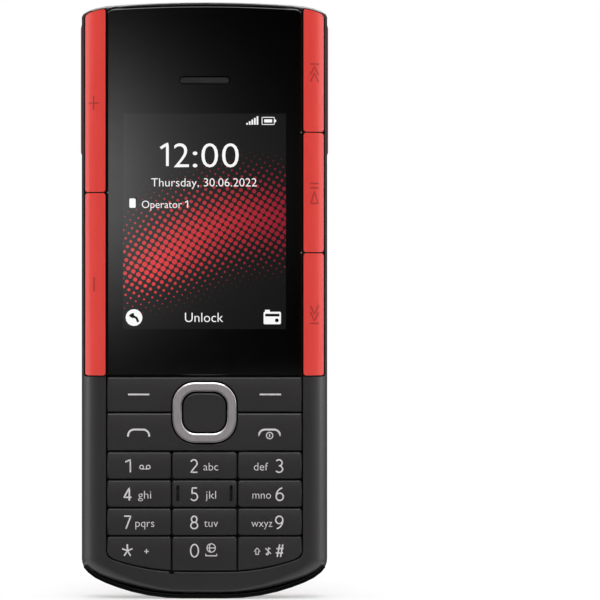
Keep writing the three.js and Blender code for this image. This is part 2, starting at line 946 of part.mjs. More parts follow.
// Shoe of the slider: a flange over the rail, a web in the groove and a toe under the rail.
function slideShoe(side) {
  const webInner = grooveInner + shoeClearance;
  const webOuter = grooveOuter - shoeClearance;
  const toeOuter = grooveOuter + undercutWidth - shoeClearance;
  const toeY = undercutY + shoeClearance;
  const toeBackY = railLipY - shoeClearance;
  const flangeY = frameY + gap;
  const flangeBackY = flangeY + shoeThickness;
  const section = [
    [webInner, toeY],
    [toeOuter, toeY],
    [toeOuter, toeBackY],
    [webOuter, toeBackY],
    [webOuter, flangeY],
    [grooveOuter + shoeReach, flangeY],
    [grooveOuter + shoeReach, flangeBackY],
    [webInner, flangeBackY],
  ];
  const bottom = sliderBottom + sliderBottomCornerRise + gap;
  return mirrored(bar(section, bottom, grooveTop - gap), side);
}

// Battery cover with its crowned sides, and the holes for camera, flash and sound.
function coverArea(margin) {
  const left = -coverHalf - margin;
  const right = coverHalf + margin;
  return {
    left,
    right,
    lower: (x) => coverBottom - margin + bowRise(x) + cornerEase(x, left, right, coverCorner, coverCorner),
    upper: level(coverTop + margin),
  };
}

function backCover() {
  const full = coverArea(0);
  const stations = [{ ...full, y: coverInnerY }];
  for (let i = 0; i <= crownSteps; i++) {
    const turn = ((Math.PI / 2) * i) / crownSteps;
    const side = coverCrownWidth * (1 - Math.cos(turn));
    const ease = coverEase * (1 - Math.cos(turn));
    stations.push({
      y: coverY - coverCrownDepth * (1 - Math.sin(turn)),
      left: full.left + side,
      right: full.right - side,
      lower: (x) => full.lower((x * coverHalf) / (coverHalf - side)) + ease,
      upper: full.upper,
    });
  }
  const through = (shape) => plate(shape, seatY, sliderY);
  const opening = cameraSize + 2 * gap;
  return loft(stations, bodyColumns)
    .subtract(through(slotShape(slotWidth, slotHeight, upperSlotHeight)))
    .subtract(through(slotShape(slotWidth, slotHeight, lowerSlotHeight)))
    .subtract(through(roundedShape(opening, opening, cameraCorner + gap, 0, cameraHeight)))
    .subtract(disc(flashRadius + gap, seatY, sliderY, -flashOffset, cameraHeight));
}

function speakerGrille(z) {
  const back = coverY - gap;
  return plate(slotShape(slotWidth, slotHeight, z, -gap), back - slotGrilleThickness, back);
}

// Camera: a bezel around a dark window, whose round hole shows the lens of the module below.
function cameraBezel() {
  const shape = roundedShape(cameraSize, cameraSize, cameraCorner, 0, cameraHeight);
  const hole = cameraSize - 2 * bezelWidth;
  shape.holes.push(roundedShape(hole, hole, cameraCorner - bezelWidth, 0, cameraHeight));
  return bevelledPlate(shape, coverInnerY, coverY + bezelProud, bezelProud);
}

function cameraWindow() {
  const size = cameraSize - 2 * bezelWidth - 2 * gap;
  const back = coverY - windowSink;
  return plate(
    roundedShape(size, size, cameraCorner - bezelWidth - gap, 0, cameraHeight),
    back - windowThickness,
    back,
  ).subtract(disc(lensRecessRadius, coverInnerY - overrun, sliderY, 0, cameraHeight));
}

function cameraModule() {
  const side = cameraModuleSize / 2;
  const lens = disc(lensRadius, seatY - gap, coverInnerY + lensRise, 0, cameraHeight);
  return block([-side, bayY, cameraHeight - side], [side, seatY, cameraHeight + side]).add(lens);
}

const flashLens = () => disc(flashRadius, coverInnerY, coverY + flashProud, -flashOffset, cameraHeight);

// What fills the bay behind the floor, from the bottom to the top.
function antennaCarrier() {
  const area = { ...bayArea(0, 0), left: gap - bayHalf, right: bayHalf - gap };
  area.lower = (x) => coverBottom + frameLip + gap + bowRise(x);
  area.upper = level(carrierTop);
  const side = speakerHalf + gap;
  const rise = speakerHeight / 2 + gap;
  const speakerRoom = block(
    [-side, floorY - overrun, lowerSlotHeight - rise],
    [side, sliderY, lowerSlotHeight + rise],
  );
  return band(area, bayY, seatY, bodyColumns)
    .subtract(speakerRoom)
    .subtract(usbBlock(gap, usbTop + gap))
    .subtract(jackBlock(gap))
    .subtract(jackHole())
    .subtract(motorBar(gap));
}

function motorBar(margin) {
  return roundBar(
    motorRadius + margin,
    motorBottom - margin,
    motorBottom + motorLength + margin,
    -jackOffset,
    bayY + motorRadius,
  );
}

function speaker(z) {
  const rise = speakerHeight / 2;
  return block([-speakerHalf, bayY, z - rise], [speakerHalf, seatY, z + rise]);
}

function battery() {
  const side = screwOffset - screwHeadRadius - batterySlack;
  return block(
    [-side, bayY, carrierTop + gap],
    [side, seatY, bridgeBottom - batteryContactGap],
  );
}

function cameraBridge() {
  const side = bayHalf - gap;
  const cameraSide = cameraModuleSize / 2 + gap;
  const speakerSide = speakerHalf + gap;
  const rise = speakerHeight / 2 + gap;
  const contacts = block(
    [-speakerSide, bayY, bridgeBottom - batteryContactGap + gap],
    [speakerSide, seatY - gap, bridgeBottom + gap],
  );
  return block([-side, bayY, bridgeBottom], [side, seatY, trayBottom - gap])
    .add(contacts)
    .subtract(
      block(
        [-cameraSide, floorY - overrun, cameraHeight - cameraSide],
        [cameraSide, sliderY, cameraHeight + cameraSide],
      ),
    )
    .subtract(
      block(
        [-speakerSide, floorY - overrun, upperSlotHeight - rise],
        [speakerSide, sliderY, upperSlotHeight + rise],
      ),
    );
}

// Socket for the charging plug: a flat tube, closed behind, with a contact tongue.
function usbSocket() {
  const y = boardBackY + gap + usbHeight / 2;
  const tube = (width, height, bottom, top) => {
    const right = width / 2;
    const up = height / 2;
    const cut = height / 4;
    const points = [
      [-right + cut, y - up],
      [right - cut, y - up],
      [right, y - up + cut],
      [right, y + up - cut],
      [right - cut, y + up],
      [-right + cut, y + up],
      [-right, y + up - cut],
      [-right, y - up + cut],
    ];
    return bar(points, bottom, top);
  };
  const inside = usbTop - usbWall;
  const tongueHalf = usbWidth / 4;
  return tube(usbWidth, usbHeight, usbMouth, usbTop)
    .subtract(tube(usbWidth - 2 * usbWall, usbHeight - 2 * usbWall, usbMouth - overrun, inside))
    .add(
      block(
        [-tongueHalf, y - usbTongueThickness / 2, usbMouth + usbWall],
        [tongueHalf, y + usbTongueThickness / 2, inside + usbWall / 2],
      ),
    );
}

function headsetJack() {
  const nose = roundBar(jackNoseRadius, jackBottom - jackNoseLength, jackBottom + gap, jackOffset, jackY);
  const bore = roundBar(jackBoreRadius, -overrun, jackBottom + jackLength - wall, jackOffset, jackY);
  return jackBlock(0).add(nose).subtract(bore);
}

// Screw with its head at the origin, pointing along -Y.
function screwGeometry(length) {
  const profile = [
    [0, -length],
    [screwRadius, -length],
    [screwRadius, 0],
    [screwHeadRadius, 0],
    [screwHeadRadius, screwHeadHeight],
    [0, screwHeadHeight],
  ];
  return new THREE.LatheGeometry(
    profile.map(([x, y]) => new THREE.Vector2(x, y)),
    discSides,
  );
}

// Tray with two joined wells for the earbuds, each well with a pair of charging contacts.
const trayY = housingY + trayLift;
const budOffset = bayHalf * budOffsetShare;
const budRadius = bayHalf * budRadiusShare;
const stemWidth = bayHalf * stemWidthShare;
const tipRadius = bayHalf * tipRadiusShare;
const tipLength = bayHalf * tipLengthShare;
const trayTopY = coverInnerY + trayRise;
const wellY = trayY + trayThickness;
const budHeight = phoneLength - trayInset - budRadius - budTopMargin;
const budY = wellY + gap;
const budBackY = sliderInnerY - gap;
const stemBottom = trayBottom + stemBottomMargin;

function earbudTray() {
  const reach = bayHalf - gap;
  const area = { ...bayArea(trayBottom, trayInset), left: -reach, right: reach };
  let tray = band(area, trayY, trayTopY, bodyColumns);
  const head = budRadius + budClearance;
  const stem = stemWidth / 2 + budClearance;
  const tip = tipRadius + budClearance;
  for (const x of [-budOffset, budOffset]) {
    tray = tray
      .subtract(disc(head, wellY, sliderY, x, budHeight))
      .subtract(block([x - stem, wellY, trayBottom + trayEndMargin], [x + stem, sliderY, budHeight]));
  }
  tray = tray.subtract(
    block([-budOffset, wellY, budHeight - tip], [budOffset, sliderY, budHeight + tip]),
  );
  for (const x of [-budOffset, budOffset]) {
    tray = tray.add(
      block(
        [x - contactWidth / 2, wellY - gap, stemBottom - gap - contactHeight],
        [x + contactWidth / 2, (budY + budBackY) / 2, stemBottom - gap],
      ),
    );
  }
  for (const [, x, z] of screwPlaces.slice(0, 2)) {
    tray = tray
      .subtract(disc(screwRadius + gap, trayY - overrun, sliderY, x, z))
      .subtract(disc(screwHeadRadius + gap, trayScrewSeat - gap, sliderY, x, z));
  }
  return tray;
}

// Earbud of the right side: a flattened head, a stem and a nozzle for the tip.
function earbud() {
  const head = new THREE.SphereGeometry(1, discSides, discSides / 2);
  const depth = (budBackY - budY) / 2;
  head.scale(budRadius, depth, budRadius);
  head.translate(budOffset, budY + depth, budHeight);
  const middle = budY + depth;
  const stem = new THREE.ExtrudeGeometry(
    roundedShape(stemWidth, stemDepth, stemDepth / 3, budOffset, middle),
    { depth: budHeight - stemBottom, bevelEnabled: false, curveSegments: curveSteps },
  );
  stem.translate(0, 0, stemBottom);
  const nozzleRadius = bayHalf * nozzleRadiusShare;
  const nozzle = new THREE.CylinderGeometry(nozzleRadius, nozzleRadius, budRadius, discSides);
  nozzle.rotateZ(Math.PI / 2);
  nozzle.translate(tipInset + tipLength + gap + budRadius / 2, middle, budHeight);
  return solidOf(head).add(solidOf(stem)).add(solidOf(nozzle));
}

// Soft tip of the right earbud, a blunt dome that faces the middle of the tray.
function earTip() {
  const shares = [
    [0, 0],
    [0.45, 0.04],
    [0.75, 0.2],
    [0.95, 0.5],
    [1, 0.8],
    [0.9, 1],
    [0, 1],
  ];
  const tipDepth = (budBackY - budY) / 2 - gap;
  const geometry = new THREE.LatheGeometry(
    shares.map(([out, along]) => new THREE.Vector2(out * tipRadius, along * tipLength)),
    discSides,
  );
  geometry.rotateZ(-Math.PI / 2);
  geometry.scale(1, tipDepth / tipRadius, 1);
  geometry.translate(tipInset, (budY + budBackY) / 2, budHeight);
  return solidOf(geometry);
}

// Sliding cover: a crowned plate with side walls, hollow below, two chevrons pressed into its back.
function sliderOuter() {
  const crownStart = sliderY - sliderCrownDepth;
  const lower = (x) =>
    sliderBottom +
    (x * x) / (2 * sliderBowRadius) +
    cornerEase(x, -sliderHalf, sliderHalf, sliderBottomCornerWidth, sliderBottomCornerRise);
  const upper = (x) =>
    phoneLength -
    sliderTopInset -
    topDrop((x * half) / sliderHalf) -
    cornerEase(x, -sliderHalf, sliderHalf, sliderTopCornerWidth, sliderTopCornerDrop);
  const at = (y, side, ease) => ({
    y,
    left: side - sliderHalf,
    right: sliderHalf - side,
    lower: (x) => lower((x * sliderHalf) / (sliderHalf - side)) + ease,
    upper: (x) => upper((x * sliderHalf) / (sliderHalf - side)) - ease,
  });
  const stations = [at(sliderEdgeY, 0, 0)];
  for (let i = 0; i <= 2 * crownSteps; i++) {
    const turn = ((Math.PI / 2) * i) / (2 * crownSteps);
    const y = crownStart + sliderCrownDepth * Math.sin(turn);
    const past = Math.max(0, y - sliderInnerY) / sliderWall;
    const ease = sliderEdgeBevel * past ** 2;
    stations.push(at(y, sliderCrownWidth * (1 - Math.cos(turn)), ease));
  }
  return loft(stations, bodyColumns);
}

// The space below the sliding cover, open at both ends.
function sliderRoom() {
  const side = sliderHalf - sliderSideWall;
  const width = sliderCrownWidth - sliderSideWall;
  const start = sliderY - sliderCrownDepth;
  const depth = sliderCrownDepth - sliderWall;
  const right = [];
  for (let i = 0; i <= crownSteps; i++) {
    const turn = ((Math.PI / 2) * i) / crownSteps;
    right.push([side - width * (1 - Math.cos(turn)), start + depth * Math.sin(turn)]);
  }
  const left = right.map(([x, y]) => [-x, y]).reverse();
  const open = frontY;
  return bar([[-side, open], [side, open], ...right, ...left], sliderBottom - overrun, phoneLength);
}

// One rounded chevron, pressed into the back, whose lowest middle point is at z.
function chevron(z) {
  const slope = Math.atan2(chevronRise, chevronReach);
  const quarter = Math.PI / 2;
  const tip = z + chevronRise;
  const shape = new THREE.Shape();
  shape.absarc(-chevronReach, tip, chevronRadius, quarter - slope, 3 * quarter - slope);
  shape.absarc(0, z, chevronRadius, 3 * quarter - slope, 3 * quarter + slope);
  shape.absarc(chevronReach, tip, chevronRadius, slope - quarter, slope + quarter);
  shape.lineTo(0, z + chevronRadius / Math.cos(slope));
  shape.closePath();
  return plate(shape, sliderY - chevronDepth, sliderY + overrun);
}

function sliderCover() {
  return sliderOuter()
    .subtract(sliderRoom())
    .subtract(chevron(sliderBottom + chevronHeight))
    .subtract(chevron(sliderBottom + chevronHeight + chevronPitch));
}

// Finishes
const finish = (color, roughness, metalness) => () =>
  new THREE.MeshStandardMaterial({ color, roughness, metalness });
const darkShell = finish(0x353334, 0.45, 0);
const darkKey = finish(0x3b393a, 0.5, 0);
const redPlastic = finish(0xda3a33, 0.4, 0);
const redKey = finish(0xd54c47, 0.4, 0);
const blackGlass = finish(0x08090a, 0.08, 0);
const brushedMetal = finish(0xa8a3a5, 0.3, 1);
const steel = finish(0x9a9a9a, 0.35, 1);
const blackPlastic = finish(0x1c1c1e, 0.6, 0);
const silicone = finish(0x2a2a2c, 0.8, 0);
const board = finish(0x1f5a3a, 0.5, 0);
const batteryFoil = finish(0x8f9296, 0.4, 0.2);
const glossPlastic = finish(0x202022, 0.15, 0);
const flashPlastic = finish(0xe6d36a, 0.3, 0);
const softTip = finish(0xb9302b, 0.7, 0);

// A solid as a named mesh.
function piece(name, solid, material) {
  const { numProp, numVert, vertProperties, triVerts } = solid.getMesh();
  const positions = new Float32Array(3 * numVert);
  for (let i = 0; i < numVert; i++) {
    positions.set(vertProperties.subarray(i * numProp, i * numProp + 3), 3 * i);
  }
  const geometry = new THREE.BufferGeometry();
  geometry.setAttribute("position", new THREE.BufferAttribute(positions, 3));
  geometry.setIndex(new THREE.BufferAttribute(triVerts, 1));
  geometry.computeVertexNormals();
  const mesh = new THREE.Mesh(geometry, material());
  mesh.name = name;
  return mesh;
}

function frontGroup() {
  const group = new THREE.Group();
  group.add(
    piece("front_shell", frontShell(), darkShell),
    piece("front_glass", frontGlass(), blackGlass),
    piece("display_module", displayModule(), glossPlastic),
    piece("earpiece", earpiece(), blackPlastic),
    piece("earpiece_grille", earpieceGrille(), steel),
    piece("switch_strip_left", switchStrip(-1), board),
    piece("switch_strip_right", switchStrip(1), board),
    piece("keypad_mat", keypadMat(), silicone),
    piece("main_board", mainBoard(), board),
  );
  return group;
}

function sideKeyGroup() {
  const group = new THREE.Group();
  const room = gap / 2;
  const split = (share) => glassBottom + (phoneLength - glassBottom) * share;
  const volumeSplit = split(volumeSplitShare);
  const upperSplit = split(upperMusicSplitShare);
  const lowerSplit = split(lowerMusicSplitShare);
  group.add(
    piece("volume_up_key", sideKey(-1, volumeSplit + room, phoneLength), redKey),
    piece("volume_down_key", sideKey(-1, glassBottom, volumeSplit - room), redKey),
    piece("previous_key", sideKey(1, upperSplit + room, phoneLength), redKey),
    piece("play_key", sideKey(1, lowerSplit + room, upperSplit - room), redKey),
    piece("next_key", sideKey(1, glassBottom, lowerSplit - room), redKey),
  );
  return group;
}

function keypadGroup() {
  const group = new THREE.Group();
  group.add(
    piece("soft_key_bar", keyBar(keypadTop - softRowHeight, keypadTop), darkKey),
    piece("call_key_bar", keyBar(callRowTop - callRowHeight, callRowTop), darkKey),
    piece("nav_ring", navRing(), brushedMetal),
    piece("nav_rocker", navRocker(), blackPlastic),
    piece("select_key", selectKey(), darkKey),
  );
  numberNames.forEach((name, place) => {
    let solid = numberKey(place);
    if (name === "5") for (const ridge of markRidges()) solid = solid.add(ridge);
    group.add(piece("key_" + name, solid, darkKey));
  });
  return group;
}

function rearGroup() {
  const group = new THREE.Group();
  group.add(
    piece("rear_housing", rearHousing(), darkShell),
    piece("rear_frame", rearFrame(), redPlastic),
    piece("back_cover", backCover(), darkShell),
    piece("antenna_carrier", antennaCarrier(), blackPlastic),
    piece("battery", battery(), batteryFoil),
    piece("camera_bridge", cameraBridge(), blackPlastic),
    piece("camera_module", cameraModule(), blackPlastic),
    piece("camera_window", cameraWindow(), blackGlass),
    piece("camera_bezel", cameraBezel(), brushedMetal),
    piece("flash_lens", flashLens(), flashPlastic),
    piece("speaker_upper", speaker(upperSlotHeight), blackPlastic),
    piece("speaker_lower", speaker(lowerSlotHeight), blackPlastic),
    piece("speaker_grille_upper", speakerGrille(upperSlotHeight), steel),
    piece("speaker_grille_lower", speakerGrille(lowerSlotHeight), steel),
    piece("usb_socket", usbSocket(), steel),
    piece("headset_jack", headsetJack(), blackPlastic),
    piece("vibration_motor", motorBar(0), steel),
    piece("earbud_tray", earbudTray(), blackPlastic),
  );
  return group;
}

function earbudGroup() {
  const group = new THREE.Group();
  for (const [name, side] of [
    ["left", -1],
    ["right", 1],
  ]) {
    group.add(
      piece("earbud_" + name, mirrored(earbud(), side), redPlastic),
      piece("ear_tip_" + name, mirrored(earTip(), side), softTip),
    );
  }
  return group;
}

function screwGroup() {
  const group = new THREE.Group();
  const tip = shelfY + bossSkin + gap;
  for (const [name, x, z] of screwPlaces) {
    const seat = z === upperScrewHeight ? trayScrewSeat : bayY;
    const screw = piece("screw_" + name, solidOf(screwGeometry(seat - tip)), steel);
    screw.position.set(x, seat, z);
    group.add(screw);
  }
  return group;
}

function sliderGroup() {
  const group = new THREE.Group();
  group.add(
    piece("slider_cover", sliderCover(), redPlastic),
    piece("slide_shoe_left", slideShoe(-1), blackPlastic),
    piece("slide_shoe_right", slideShoe(1), blackPlastic),
  );
  return group;
}

const phone = new THREE.Group();
phone.add(
  frontGroup(),
  sideKeyGroup(),
  keypadGroup(),
  rearGroup(),
  earbudGroup(),
  screwGroup(),
  sliderGroup(),
);

export default phone;
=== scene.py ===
# Looks of the slider phone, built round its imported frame. Outlines, tables and places on the phone
# are in millimetres, and MM turns them into metres. Lamps and the floor are in metres.
import json
import math

import bmesh
import bpy
from mathutils import Matrix, Vector


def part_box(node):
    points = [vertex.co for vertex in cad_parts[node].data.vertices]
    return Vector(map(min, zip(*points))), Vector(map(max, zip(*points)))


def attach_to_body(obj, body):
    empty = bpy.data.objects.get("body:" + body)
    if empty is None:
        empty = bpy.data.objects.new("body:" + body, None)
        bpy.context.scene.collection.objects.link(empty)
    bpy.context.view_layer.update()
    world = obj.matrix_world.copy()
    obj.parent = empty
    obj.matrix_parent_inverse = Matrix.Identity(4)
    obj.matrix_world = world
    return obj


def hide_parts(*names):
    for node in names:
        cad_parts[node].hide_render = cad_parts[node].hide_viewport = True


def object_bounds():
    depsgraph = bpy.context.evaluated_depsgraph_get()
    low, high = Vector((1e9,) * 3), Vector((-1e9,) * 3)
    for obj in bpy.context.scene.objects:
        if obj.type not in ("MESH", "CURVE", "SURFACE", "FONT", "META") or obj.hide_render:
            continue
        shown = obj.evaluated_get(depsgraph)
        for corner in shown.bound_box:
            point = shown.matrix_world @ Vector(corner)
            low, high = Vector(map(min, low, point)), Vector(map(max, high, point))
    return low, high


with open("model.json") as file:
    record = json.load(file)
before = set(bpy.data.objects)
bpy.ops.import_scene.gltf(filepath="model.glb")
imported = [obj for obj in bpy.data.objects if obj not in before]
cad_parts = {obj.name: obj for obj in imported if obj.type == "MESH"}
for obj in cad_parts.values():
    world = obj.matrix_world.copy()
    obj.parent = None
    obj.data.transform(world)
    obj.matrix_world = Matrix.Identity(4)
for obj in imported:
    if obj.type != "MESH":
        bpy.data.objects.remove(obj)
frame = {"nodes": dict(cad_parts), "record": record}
cad_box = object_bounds()
nodes = frame["nodes"]
scene = bpy.context.scene
MM = 0.001
WHITE = (1, 1, 1, 1)


# Camera: a long lens straight in front of the screen, with the phone left of the middle
def aim(thing, target):
    direction = Vector(target) - thing.location
    thing.rotation_euler = direction.to_track_quat("-Z", "Y").to_euler()


PHONE_LENGTH = cad_box[1][2] - cad_box[0][2]
FRONT = cad_box[0][1]
PHOTO_WIDTH = 600
PHOTO_SCALE = 4.446
PHOTO_MIDDLE = 204.5
PHOTO_FOOT = 599

lens = bpy.data.cameras.new("camera")
lens.lens = 250
lens.sensor_width = 36
lens.dof.use_dof = False
lens.shift_x = (PHOTO_WIDTH / 2 - PHOTO_MIDDLE) / PHOTO_WIDTH
camera = bpy.data.objects.new("camera", lens)
scene.collection.objects.link(camera)
frame_width = PHOTO_WIDTH / PHOTO_SCALE * MM
camera_height = (PHOTO_FOOT - PHOTO_WIDTH / 2) / PHOTO_SCALE * MM
camera_distance = frame_width * lens.lens / lens.sensor_width
camera.location = (0, FRONT - camera_distance, camera_height)
aim(camera, (0, 0, camera_height))
scene.camera = camera


# Studio lamps: large soft boxes above, in front, behind and on both sides
def softbox(name, place, width, height, power):
    lamp = bpy.data.lights.new(name, "AREA")
    lamp.shape = "RECTANGLE"
    lamp.size = width
    lamp.size_y = height
    lamp.energy = power
    thing = bpy.data.objects.new(name, lamp)
    scene.collection.objects.link(thing)
    thing.location = place
    aim(thing, (0, 0, PHONE_LENGTH / 2))


softbox("top_softbox", (0, -0.16, 0.75), 0.8, 0.5, 3.6)
softbox("front_softbox", (0, -1.0, 0.75), 0.7, 0.4, 2.4)
softbox("rear_softbox", (0, 1.0, 0.75), 0.8, 0.5, 4.6)
softbox("left_softbox", (-0.8, 0.15, 0.3), 0.4, 0.8, 2.6)
softbox("right_softbox", (0.8, 0.15, 0.3), 0.4, 0.8, 2.6)


# Colours and nodes
def linear(hexa):
    parts = [int(hexa[i : i + 2], 16) / 255 for i in (0, 2, 4)]
    return [p / 12.92 if p <= 0.04045 else ((p + 0.055) / 1.055) ** 2.4 for p in parts] + [1]


# Sockets of a Mix node that is set to colours
COLOUR_A = 6
COLOUR_B = 7
COLOUR_OUT = 2


def add(tree, kind, inputs=None, **settings):
    made = tree.nodes.new(kind)
    for name, value in settings.items():
        setattr(made, name, value)
    for name, value in (inputs or {}).items():
        if isinstance(value, bpy.types.NodeSocket):
            tree.links.new(value, made.inputs[name])
        else:
            made.inputs[name].default_value = value
    return made


def surface(name, **values):
    made = bpy.data.materials.new(name)
    made.use_nodes = True
    tree = made.node_tree
    tree.nodes.clear()
    shader = add(tree, "ShaderNodeBsdfPrincipled", values)
    add(tree, "ShaderNodeOutputMaterial", {"Surface": shader.outputs["BSDF"]})
    place = add(tree, "ShaderNodeTexCoord").outputs["Object"]
    return made, tree, shader, place


CLOUD_WIDTH = 11.11 * MM
DUST_WIDTH = 3.846 * MM
FILM_GRAIN = 0.4 * MM


# Moulded plastic and rubber: spark-eroded moulds leave a fine grain, which breaks up the shine and
# clouds the colour a little. The grain is drawn about twice as coarse as a real one, so that it
# shows.
def moulded(name, dark, light, roughness, grain_mm, depth_mm, specular=0.5, coat=0.0):
    made, tree, shader, place = surface(
        name,
        **{
            "IOR": 1.5,
            "Specular IOR Level": specular,
            "Coat Weight": coat,
            "Coat Roughness": 0.25,
        },
    )
    cloud = add(
        tree, "ShaderNodeTexNoise", {"Vector": place, "Scale": 1 / CLOUD_WIDTH, "Detail": 3}
    )
    grain = add(
        tree,
        "ShaderNodeTexNoise",
        {"Vector": place, "Scale": 1 / (grain_mm * MM), "Detail": 2, "Roughness": 0.6},
    )
    tone = add(
        tree,
        "ShaderNodeMix",
        {"Factor": cloud.outputs["Fac"], COLOUR_A: linear(dark), COLOUR_B: linear(light)},
        data_type="RGBA",
    )
    rough = add(
        tree,
        "ShaderNodeMapRange",
        {"Value": grain.outputs["Fac"], "To Min": roughness - 0.05, "To Max": roughness + 0.07},
    )
    bump = add(
        tree,
        "ShaderNodeBump",
        {"Height": grain.outputs["Fac"], "Strength": 0.35, "Distance": depth_mm * MM},
    )
    tree.links.new(tone.outputs[COLOUR_OUT], shader.inputs["Base Color"])
    tree.links.new(rough.outputs["Result"], shader.inputs["Roughness"])
    tree.links.new(bump.outputs["Normal"], shader.inputs["Normal"])
    return made


# Brushed and rolled metal: fine parallel lines that smear the shine across them. Real lines are about
# 0.03 mm wide, these are coarser so that they show.
def brushed(name, dark, light, roughness, line_mm, along=(0.04, 1, 1)):
    made, tree, shader, place = surface(name, Metallic=1.0)
    thin = add(tree, "ShaderNodeMapping", {"Vector": place, "Scale": along})
    lines = add(
        tree,
        "ShaderNodeTexNoise",
        {"Vector": thin.outputs["Vector"], "Scale": 1 / (line_mm * MM), "Detail": 2},
    )
    tone = add(
        tree,
        "ShaderNodeMix",
        {"Factor": lines.outputs["Fac"], COLOUR_A: linear(dark), COLOUR_B: linear(light)},
        data_type="RGBA",
    )
    rough = add(
        tree,
        "ShaderNodeMapRange",
        {"Value": lines.outputs["Fac"], "To Min": roughness - 0.08, "To Max": roughness + 0.1},
    )
    bump = add(
        tree,
        "ShaderNodeBump",
        {"Height": lines.outputs["Fac"], "Strength": 0.25, "Distance": 0.01 * MM},
    )
    tree.links.new(tone.outputs[COLOUR_OUT], shader.inputs["Base Color"])
    tree.links.new(rough.outputs["Result"], shader.inputs["Roughness"])
    tree.links.new(bump.outputs["Normal"], shader.inputs["Normal"])
    return made


# Polished surfaces: toughened glass, clear lacquer and cut metal edges stay sharp in their
# reflections, with a trace of dust and handling that clouds the shine.
def polished(name, dark, light, roughness, **values):
    made, tree, shader, place = surface(name, **values)
    dust = add(tree, "ShaderNodeTexNoise", {"Vector": place, "Scale": 1 / DUST_WIDTH, "Detail": 4})
    tone = add(
        tree,
        "ShaderNodeMix",
        {"Factor": dust.outputs["Fac"], COLOUR_A: linear(dark), COLOUR_B: linear(light)},
        data_type="RGBA",
    )
    rough = add(
        tree,
        "ShaderNodeMapRange",
        {"Value": dust.outputs["Fac"], "To Min": roughness, "To Max": roughness + 0.03},
    )
    tree.links.new(tone.outputs[COLOUR_OUT], shader.inputs["Base Color"])
    tree.links.new(rough.outputs["Result"], shader.inputs["Roughness"])
    return made


# Pad-printed ink: a thin, even film whose density varies slightly. With a glow it stands for lit
# display pixels, whose colour is all light on a black ground.
def ink(name, dark, light, glow=0.0, roughness=0.45):
    made, tree, shader, place = surface(name, **{"Roughness": roughness, "Emission Strength": glow})
    film = add(tree, "ShaderNodeTexNoise", {"Vector": place, "Scale": 1 / FILM_GRAIN, "Detail": 2})
    tone = add(
        tree,
        "ShaderNodeMix",
        {"Factor": film.outputs["Fac"], COLOUR_A: linear(dark), COLOUR_B: linear(light)},
        data_type="RGBA",
    )
    target = "Emission Color" if glow else "Base Color"
    shader.inputs["Base Color"].default_value = linear("040404")
    tree.links.new(tone.outputs[COLOUR_OUT], shader.inputs[target])
    return made


# Lit display picture: rows of red dots that swell along an arch, brighter on its left side, over the
# dark grey of a backlit panel. It lies bonded behind the glass, so it has the glass's shine.
def dot_picture(name, pitch_mm, arch_centre_mm, arch_radius_mm, arch_width_mm):
    made, tree, shader, place = surface(
        name,
        **{
            "Base Color": linear("040404"),
            "Roughness": 0.04,
            "IOR": 1.5,
            "Emission Strength": 1.0,
        },
    )
    upright = add(
        tree, "ShaderNodeMapping", {"Vector": place, "Rotation": (math.radians(-90), 0, 0)}
    )
    turned = add(
        tree,
        "ShaderNodeMapping",
        {"Vector": upright.outputs["Vector"], "Rotation": (0, 0, math.radians(32))},
    )
    dots = add(
        tree,
        "ShaderNodeTexVoronoi",
        {"Vector": turned.outputs["Vector"], "Scale": 1 / (pitch_mm * MM), "Randomness": 0.0},
        voronoi_dimensions="2D",
    )
    centre = (arch_centre_mm[0] * MM, arch_centre_mm[1] * MM, 0)
    flat = add(
        tree,
        "ShaderNodeVectorMath",
        {0: upright.outputs["Vector"], 1: (1, 1, 0)},
        operation="MULTIPLY",
    )
    away = add(tree, "ShaderNodeVectorMath", {0: flat.outputs[0], 1: centre}, operation="DISTANCE")
    off = add(
        tree,
        "ShaderNodeMath",
        {0: away.outputs["Value"], 1: arch_radius_mm * MM},
        operation="SUBTRACT",
    )
    across = add(tree, "ShaderNodeMath", {0: off.outputs[0]}, operation="ABSOLUTE")
    swell = add(
        tree,
        "ShaderNodeMapRange",
        {"Value": across.outputs[0], "From Max": arch_width_mm * MM, "To Min": 0.46, "To Max": 0.0},
        interpolation_type="SMOOTHSTEP",
    )
    sides = add(tree, "ShaderNodeSeparateXYZ", {"Vector": place})
    foot = add(
        tree,
        "ShaderNodeMapRange",
        {"Value": sides.outputs["Z"], "From Min": 62 * MM, "From Max": 76 * MM},
        interpolation_type="SMOOTHSTEP",
    )
    swell = add(
        tree,
        "ShaderNodeMath",
        {0: swell.outputs["Result"], 1: foot.outputs["Result"]},
        operation="MULTIPLY",
    )
    rim = add(
        tree,
        "ShaderNodeMath",
        {0: swell.outputs[0], 1: dots.outputs["Distance"]},
        operation="SUBTRACT",
    )
    inside = add(
        tree,
        "ShaderNodeMapRange",
        {"Value": rim.outputs[0], "From Min": -0.04, "From Max": 0.04},
    )
    side = add(
        tree,
        "ShaderNodeMapRange",
        {"Value": sides.outputs["X"], "From Min": -14 * MM, "From Max": 18 * MM},
    )
    red = add(
        tree,
        "ShaderNodeMix",
        {"Factor": side.outputs["Result"], COLOUR_A: linear("e2383c"), COLOUR_B: linear("8e1a2c")},
        data_type="RGBA",
    )
    fading = add(
        tree,
        "ShaderNodeMapRange",
        {"Value": across.outputs[0], "From Max": arch_width_mm * MM, "To Min": 1.0, "To Max": 0.35},
    )
    lit = add(
        tree,
        "ShaderNodeMath",
        {0: inside.outputs["Result"], 1: fading.outputs["Result"]},
        operation="MULTIPLY",
    )
    picture = add(
        tree,
        "ShaderNodeMix",
        {"Factor": lit.outputs[0], COLOUR_A: linear("141414"), COLOUR_B: red.outputs[COLOUR_OUT]},
        data_type="RGBA",
    )
    tree.links.new(picture.outputs[COLOUR_OUT], shader.inputs["Emission Color"])
    return made


